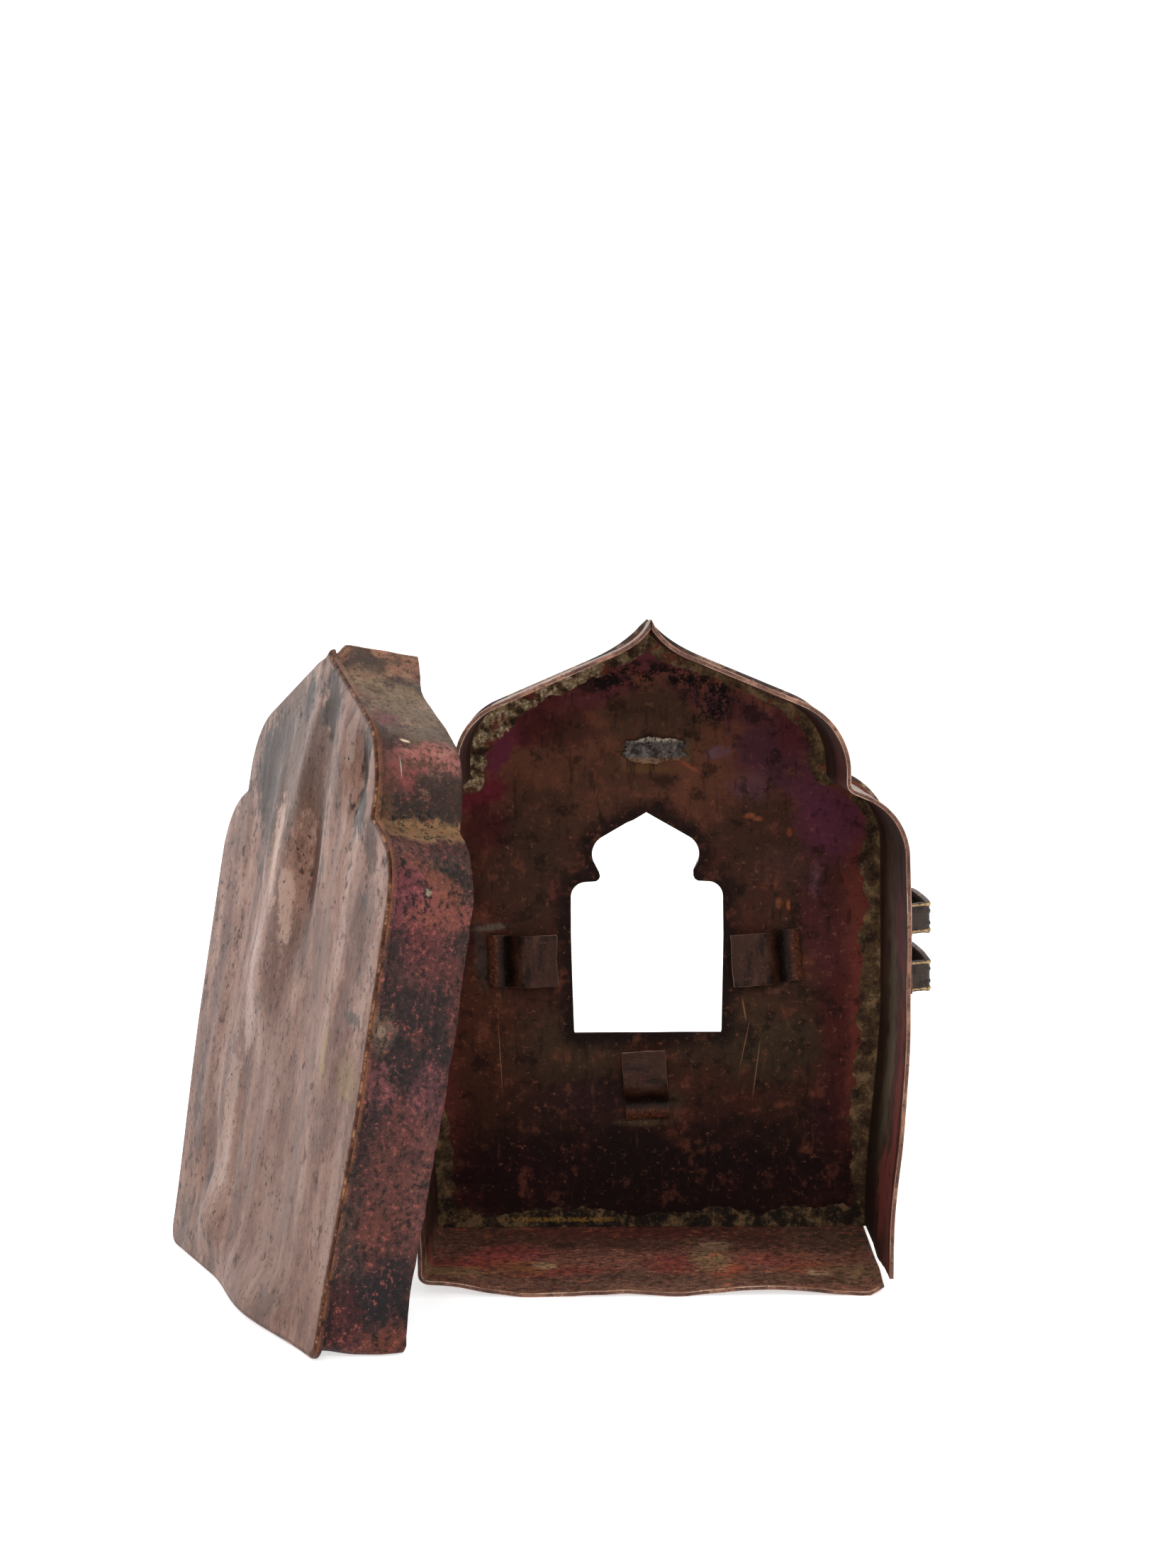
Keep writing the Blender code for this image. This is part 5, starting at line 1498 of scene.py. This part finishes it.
# place on the rim (height above the cover's base, depth from its face), half-lengths (along, in depth),
# turn, colour, strength
RIM_PATCHES_AND_PAINTED_SHADE = (
    ((149, 11), (7, 14), 0, (160, 120, 98), 0.9), ((147.5, 7), (4, 4.5), 0, (74, 62, 56), 0.9),
    ((144, 15), (3.4, 6), 10, (78, 66, 60), 0.85), ((150.4, 10.5), (2.0, 1.4), 0, (176, 132, 108), 0.8),
    ((144, 5), (5, 5), 0, (148, 116, 92), 0.8), ((141, 11), (10, 13), 0, (146, 124, 100), 0.95),
    ((137, 12), (9, 12), 0, (134, 114, 93), 0.9), ((141, 3), (4, 2), 0, (120, 72, 68), 0.6),
    ((136.5, 6), (3.4, 3.6), 10, (132, 74, 82), 0.8), ((133, 14), (6, 8), 0, (120, 102, 86), 0.85),
    ((129.5, 13), (4.5, 9), 3, (176, 118, 110), 0.85), ((128.5, 17), (2.4, 4), 0, (168, 120, 112), 0.6),
    ((126, 5), (5, 6), 0, (126, 84, 80), 0.75), ((124, 8), (3.6, 5), 0, (150, 88, 84), 0.8),
    # the dark rows at heights 120 and 116.5 are dark patina with painted shade above the notch
    ((124.5, 15), (2.6, 6), 0, (78, 64, 60), 0.85), ((120, 12), (4.6, 11), 5, (64, 52, 48), 0.9),
    ((116.5, 10), (3.4, 14), 0, (72, 60, 52), 0.85), ((117, 3), (5, 2.4), 0, (112, 86, 66), 0.7),
    ((113.8, 11), (3.6, 13), 4, (160, 130, 98), 0.95), ((113.5, 3), (2.5, 4), 0, (140, 112, 84), 0.8),
    ((109, 6), (3.6, 5), 10, (120, 80, 72), 0.7), ((108, 14), (3.2, 6), 8, (84, 70, 62), 0.8),
    ((104, 15), (4.5, 5), 0, (66, 57, 53), 0.85), ((105, 10), (2.2, 7), -24, (140, 92, 76), 0.7),
    ((100, 5), (7, 4.5), 0, (132, 78, 84), 0.85), ((98, 12), (4, 8), 0, (142, 90, 78), 0.7),
    ((102.5, 9), (0.8, 0.7), 0, (176, 172, 150), 0.6), ((91, 8), (5, 5), 0, (108, 60, 62), 0.7),
    ((87, 4), (7, 3), 0, (62, 52, 50), 0.85), ((84, 12), (9, 8), 0, (104, 66, 64), 0.7),
    ((78, 9), (7, 9), 0, (58, 47, 46), 0.85), ((73, 3), (4.5, 3), 0, (118, 102, 88), 0.8),
    ((73.5, 3), (1.2, 0.9), 0, (166, 154, 136), 0.6), ((67, 12), (6, 8), 5, (54, 45, 46), 0.8),
    ((61, 4.5), (5, 3.6), 0, (134, 88, 90), 0.8), ((59, 15), (10, 4), 0, (108, 72, 76), 0.8),
    ((50, 4), (11, 3.2), 0, (50, 42, 42), 0.8), ((45, 10), (13, 6), 0, (106, 68, 62), 0.75),
    ((40, 17), (14, 2.5), 0, (122, 82, 76), 0.7), ((30, 10), (9, 6), 0, (112, 70, 62), 0.75),
    ((30, 2.5), (12, 2.2), 0, (92, 74, 66), 0.7), ((22, 6), (7, 4), 10, (74, 62, 58), 0.8),
    ((18, 13), (9, 7), 6, (50, 43, 46), 0.95), ((12, 4), (8, 4), 0, (88, 48, 48), 0.8),
    ((9, 15), (4, 6), 20, (124, 78, 64), 0.85), ((4, 14), (4, 6), 0, (88, 66, 52), 0.8),
    ((3, 5), (4, 7), 0, (92, 56, 52), 0.7), ((10, 2), (10, 1.2), 0, (58, 36, 34), 0.6),
)


def make_rim_outside():
    f = Finish("cover_rim_patina", (94, 62, 58), roughness=0.5, metallic=0.25, specular=0.2)
    along, depth = f.part_of_place("X"), f.part_of_place("Y")
    broad = f.grain((12.0, 9.0, 1.0), detail=4.0, seed=121.0)
    middle = f.grain(3.6, detail=7.0, rough=0.72, seed=122.0)
    fine = f.grain(1.1, detail=6.0, rough=0.75, seed=123.0)
    dust = f.grain(0.38, detail=3.0, rough=0.7, seed=124.0)
    drip = f.grain((7.0, 1.6, 1.0), detail=6.0, rough=0.7, seed=126.0)
    f.washes(
        ((118, 70, 68), middle, 0.50, 0.62, 0.75), ((58, 48, 46), broad, 0.50, 0.40, 0.85),
        ((108, 86, 72), broad, 0.56, 0.68, 0.5),
    )
    f.patches([((run_at(z), y), *rest) for (z, y), *rest in RIM_PATCHES_AND_PAINTED_SHADE], ragged=0.8, soft=0.35)
    top = f.between(along, 60.0, 48.0)
    low = f.maths("SUBTRACT", 1.0, top)
    f.washes(
        ((170, 104, 94), middle, 0.40, 0.54, 0.75, low, f.between(fine, 0.55, 0.62)),
        ((42, 34, 35), drip, 0.56, 0.46, 0.8, low, f.between(fine, 0.50, 0.42)),
        ((150, 92, 88), drip, 0.60, 0.70, 0.5, low),
    )
    mixed = f.maths("ADD", f.maths("MULTIPLY", middle, 0.5), f.maths("MULTIPLY", fine, 0.5))
    f.washes(
        ((52, 42, 38), mixed, 0.45, 0.37, 0.7), ((190, 166, 138), dust, 0.62, 0.73, 0.5),
        ((40, 31, 28), fine, 0.46, 0.36, 0.6), ((44, 35, 32), middle, 0.43, 0.35, 0.6),
        ((84, 64, 50), fine, 0.50, 0.38, 0.75, top), ((104, 80, 64), middle, 0.50, 0.40, 0.7, top),
        ((186, 150, 126), middle, 0.57, 0.66, 0.45, top),
    )
    f.wash((232, 218, 192), f.spot((run_at(132.4), 7.6), (0.5, 1.2), turn=-12, ragged=0.4), 0.85)
    f.wash((196, 214, 190), f.spot((run_at(127.0), 6.0), (2.4, 0.12), turn=2, ragged=0.2), 0.5)
    edge = f.frayed(depth, fine, 1.3)
    f.wash((150, 104, 70), f.overlap(f.between(edge, 2.2, 1.3), f.between(middle, 0.38, 0.54)), 0.8)
    f.gloss(0.7, f.between(dust, 0.5, 0.6))
    f.relief((fine, 0.24), (dust, 0.07), (middle, 0.4))
    return f.done(contrast=1.25, light=0.85)


rim_outside = make_rim_outside()


# %% Cover face
def lobe_ease(x, z, y):
    """The right upper lobe has been knocked in near the face, and this is by how much."""
    if x <= 0.0:
        return 0.0
    across = smooth(15.0, 38.0, x) * smooth(107.0, 116.0, z) * (1.0 - smooth(128.0, 141.0, z))
    return -2.6 * across * (1.0 - smooth(0.0, COVER_DEPTH, y))


def make_cover_face(flat_steps=44):
    radius, middle = COVER_EDGE, SHEET / 2
    turns = [i * math.pi / 2 / 7 for i in range(8)]
    rings = [(0.0, radius + COVER_LIP)]
    rings += [(radius * (1.0 - math.cos(a)), middle + radius * (1.0 - math.sin(a))) for a in turns]
    loops = [cover_loop(inward - COVER_LIFT, y) for inward, y in rings]
    edge, count = loops[-1], len(loops[0])
    run = lengths(loops[0])
    spine = [(0.0, min(max((edge[i][1] + edge[count - 1 - i][1]) / 2, 33.0), 130.0)) for i in range(count)]
    rows = len(rings) - 1 + flat_steps
    lip_rows = 4

    def share_of(row):
        return ((row - len(rings) + 1) / flat_steps) ** 1.25

    def flat(u, v):
        i, row = round(u * (count - 1)), round(v * rows)
        if row < len(rings):
            return loops[row][i]
        return blend(edge[i][0], spine[i][0], share_of(row)), blend(edge[i][1], spine[i][1], share_of(row))

    def lip_flat(u, v):
        row = round(v * rows)
        return run[round(u * (count - 1))], rings[min(row, len(rings) - 1)][1]

    def from_crease(u, v):
        i, row = round(u * (count - 1)), round(v * rows)
        if row < len(rings):
            return (row - lip_rows) * 0.35
        x, z = flat(u, v)
        return (len(rings) - 1 - lip_rows) * 0.35 + math.hypot(x - edge[i][0], z - edge[i][1])

    def place(u, v):
        row = round(v * rows)
        x, z = flat(u, v)
        z -= 1.2 * (1.0 - smooth(0.0, 7.0, abs(x))) * smooth(130.0, 147.0, z)
        if row < len(rings):
            return stood(x + lobe_ease(x, z, rings[row][1]), rings[row][1] - base_push(x, z), z)
        push = dent_push(x, z) * smooth(0.0, 0.3, share_of(row)) + base_push(x, z)
        return stood(x + lobe_ease(x, z, 0.0), middle - push, z)

    face = bent_sheet(
        "cover_face", count - 1, rows, place, flat, turn_over=True, closed=True,
        measures={"from_crease": from_crease}, first_rows=lip_rows, first_blank=lip_flat,
    )
    finishes = [face_outside, cover_inside, worn_edge, rim_outside, cover_inside, worn_edge, arris_finish]
    settle(face, "cover_plate", finishes)


make_cover_face()


# %% [markdown]
# ## The cover's rim
# The rim strip is the most colourful piece: tan dust over red and pink oxide above, black and red below.
# Its free edge is wavy, and its lower corner is splayed out, with a fold across it. At the tip the strip
# rises from under the face's lip.

# %% Cover rim
def make_cover_rim(rows=34):
    inward = SHEET / 2 + GAP
    clear = LAP_END + GAP
    depths = [COVER_EDGE + GAP, (COVER_EDGE + GAP + clear) / 2]
    depths += [blend(clear, COVER_DEPTH, i / (rows - 2)) for i in range(rows - 1)]
    loops = [cover_loop(inward, y) for y in depths]
    count = len(loops[0])
    run = lengths(loops[0])

    def place(u, v):
        row, i = round(v * rows), round(u * (count - 1))
        x, z = loops[row][i]
        y0 = depths[row]
        share = max(0.0, y0 - clear) / (COVER_DEPTH - clear)
        near_tip = 1.0 - smooth(0.0, 13.0, abs(x)) if z > 76.0 else 0.0
        y = y0 + 2.2 * near_tip * share - base_push(x, z) * (1.0 - smooth(0.0, 0.6, share))
        frill = 0.40 * unevenness(run[i], 0.0, 0.0, 9.0, 51) + 0.18 * unevenness(run[i], 0.0, 0.0, 2.6, 52)
        y += frill * share ** 3
        z += 2.3 * near_tip * smooth(clear, clear + 1.8, y0)
        z += 0.35 * smooth(80.0, 120.0, z) * share * unevenness(run[i], y0, 0.0, 7.0, 55)
        wave = 0.55 * share * unevenness(run[i], y, 0.0, 14.0, 53)
        wave += 0.16 * smooth(0.0, 0.2, share) * unevenness(run[i], y, 0.0, 3.6, 54)
        if x > 0.0:
            x += 4.0 * share * (1.0 - smooth(0.0, 26.0, z)) * smooth(0.0, 53.7, x)
            x += lobe_ease(x, z, y0)
            fold = z - (8.2 - 2.6 * (1.0 - share))
            x += 1.1 * smooth(0.35, 0.75, share) * math.exp(-(fold / 1.3) ** 2) * smooth(30.0, 50.0, x)
            y -= 1.2 * share ** 4 * (1.0 - smooth(7.0, 9.5, z)) * smooth(30.0, 50.0, x)
        if z > 12.0:
            x += wave * (1.0 if x > 0 else -1.0)
        if i in (0, count - 1):
            x += GAP * (1.0 if i == 0 else -1.0)
            z -= GAP * math.tan(COVER_TIP_SLOPE)
        return stood(x, y, z)

    def flat(u, v):
        return run[round(u * (count - 1))], depths[round(v * rows)]

    rim = bent_sheet("cover_rim_strip", count - 1, rows, place, flat)
    settle(rim, "cover_rim", [rim_outside, cover_inside, worn_edge, arris_finish])


make_cover_rim()

# %% [markdown]
# ## Table, light and camera
# The table and the wall behind it are one pale sweep, so no horizon shows. Soft lights stand in front, on
# both sides and above, and one at the back left grazes the cover's dents. The camera stands where the
# photographer stood: a little above the middle of the box, half a metre away. All of this is in metres.

# %% Table
TABLE_WIDTH, TABLE_NEAR, TABLE_FAR, SWEEP_RADIUS, WALL_HEIGHT = 16.0, -8.0, 1.6, 0.7, 3.0


def make_table():
    """A sheet of paper: six tenths lie flat, a quarter turns up, and the rest is the wall."""
    bpy.ops.object.select_all(action="DESELECT")
    bpy.ops.mesh.primitive_grid_add(x_subdivisions=2, y_subdivisions=60, size=1.0)
    sweep = bpy.context.active_object
    sweep.name = sweep.data.name = "table_sweep"
    for vertex in sweep.data.vertices:
        t = vertex.co.y + 0.5
        vertex.co.x *= TABLE_WIDTH
        if t < 0.6:
            vertex.co.y, vertex.co.z = blend(TABLE_NEAR, TABLE_FAR, t / 0.6), 0.0
        else:
            turn = min((t - 0.6) / 0.25, 1.0) * math.pi / 2
            vertex.co.y = TABLE_FAR + SWEEP_RADIUS * math.sin(turn)
            vertex.co.z = SWEEP_RADIUS * (1.0 - math.cos(turn)) + max(0.0, t - 0.85) / 0.15 * WALL_HEIGHT
    sweep.data.shade_smooth()
    paper = bpy.data.materials.new("white_paper")
    paper.use_nodes = True
    shader = paper.node_tree.nodes["Principled BSDF"]
    shader.inputs["Base Color"].default_value = (0.9, 0.9, 0.9, 1.0)
    shader.inputs["Roughness"].default_value = 0.85
    shader.inputs["Emission Color"].default_value = (1.0, 1.0, 1.0, 1.0)
    shader.inputs["Emission Strength"].default_value = 0.62
    sweep.data.materials.append(paper)


make_table()


# %% Light
BOX_MIDDLE, COVER_MIDDLE = (0.0, 0.0, 0.07), (-0.09, -0.05, 0.08)
# name, place, what it faces, side, watts
LAMPS = (
    ("key_left", (-0.8, -1.0, 1.0), BOX_MIDDLE, 0.5, 3.4),
    ("fill_right", (1.0, -0.9, 0.6), BOX_MIDDLE, 0.7, 2.4),
    ("front", (0.05, -1.0, 0.62), BOX_MIDDLE, 0.5, 5.4),
    ("graze_left", (-0.96, 0.72, 0.34), COVER_MIDDLE, 0.4, 3.2),
    ("overhead", (0.0, 0.15, 1.2), (0.0, 0.0, 0.0), 1.1, 8.0),
)


def soft_light(name, place, aim, side, power):
    light = bpy.data.lights.new(name, "AREA")
    light.shape = "SQUARE"
    light.size = side
    light.energy = power
    lamp = bpy.data.objects.new(name, light)
    bpy.context.scene.collection.objects.link(lamp)
    lamp.location = place
    lamp.rotation_euler = (Vector(aim) - Vector(place)).to_track_quat("-Z", "Y").to_euler()


for lamp_row in LAMPS:
    soft_light(*lamp_row)
world = bpy.data.worlds.new("soft_room")
world.use_nodes = True
world.node_tree.nodes["Background"].inputs["Color"].default_value = (1.0, 1.0, 1.0, 1.0)
world.node_tree.nodes["Background"].inputs["Strength"].default_value = 0.34
bpy.context.scene.world = world
bpy.context.scene.view_settings.view_transform = "Standard"

# %% Camera
CAMERA_AT = (-0.00824, -0.50364, 0.13607)
camera = bpy.data.cameras.new("camera")
camera.sensor_fit = "VERTICAL"
camera.sensor_height = 36.0
camera.lens = 48.53
camera.clip_start = 0.01
viewer = bpy.data.objects.new("camera", camera)
bpy.context.scene.collection.objects.link(viewer)
turned_away = Euler((0.0, 0.008, 0.0)).to_matrix()
tipped_down = Euler((-0.042, 0.0, 0.0)).to_matrix()
swung_left = Euler((0.0, 0.0, 0.013)).to_matrix()
looking_level = Euler((math.pi / 2, 0.0, 0.0)).to_matrix()
axes = swung_left @ tipped_down @ turned_away @ looking_level
viewer.matrix_world = Matrix.Translation(Vector(CAMERA_AT)) @ axes.to_4x4()
bpy.context.scene.camera = viewer
print("camera:", round(camera.lens, 2), "mm lens at", CAMERA_AT)
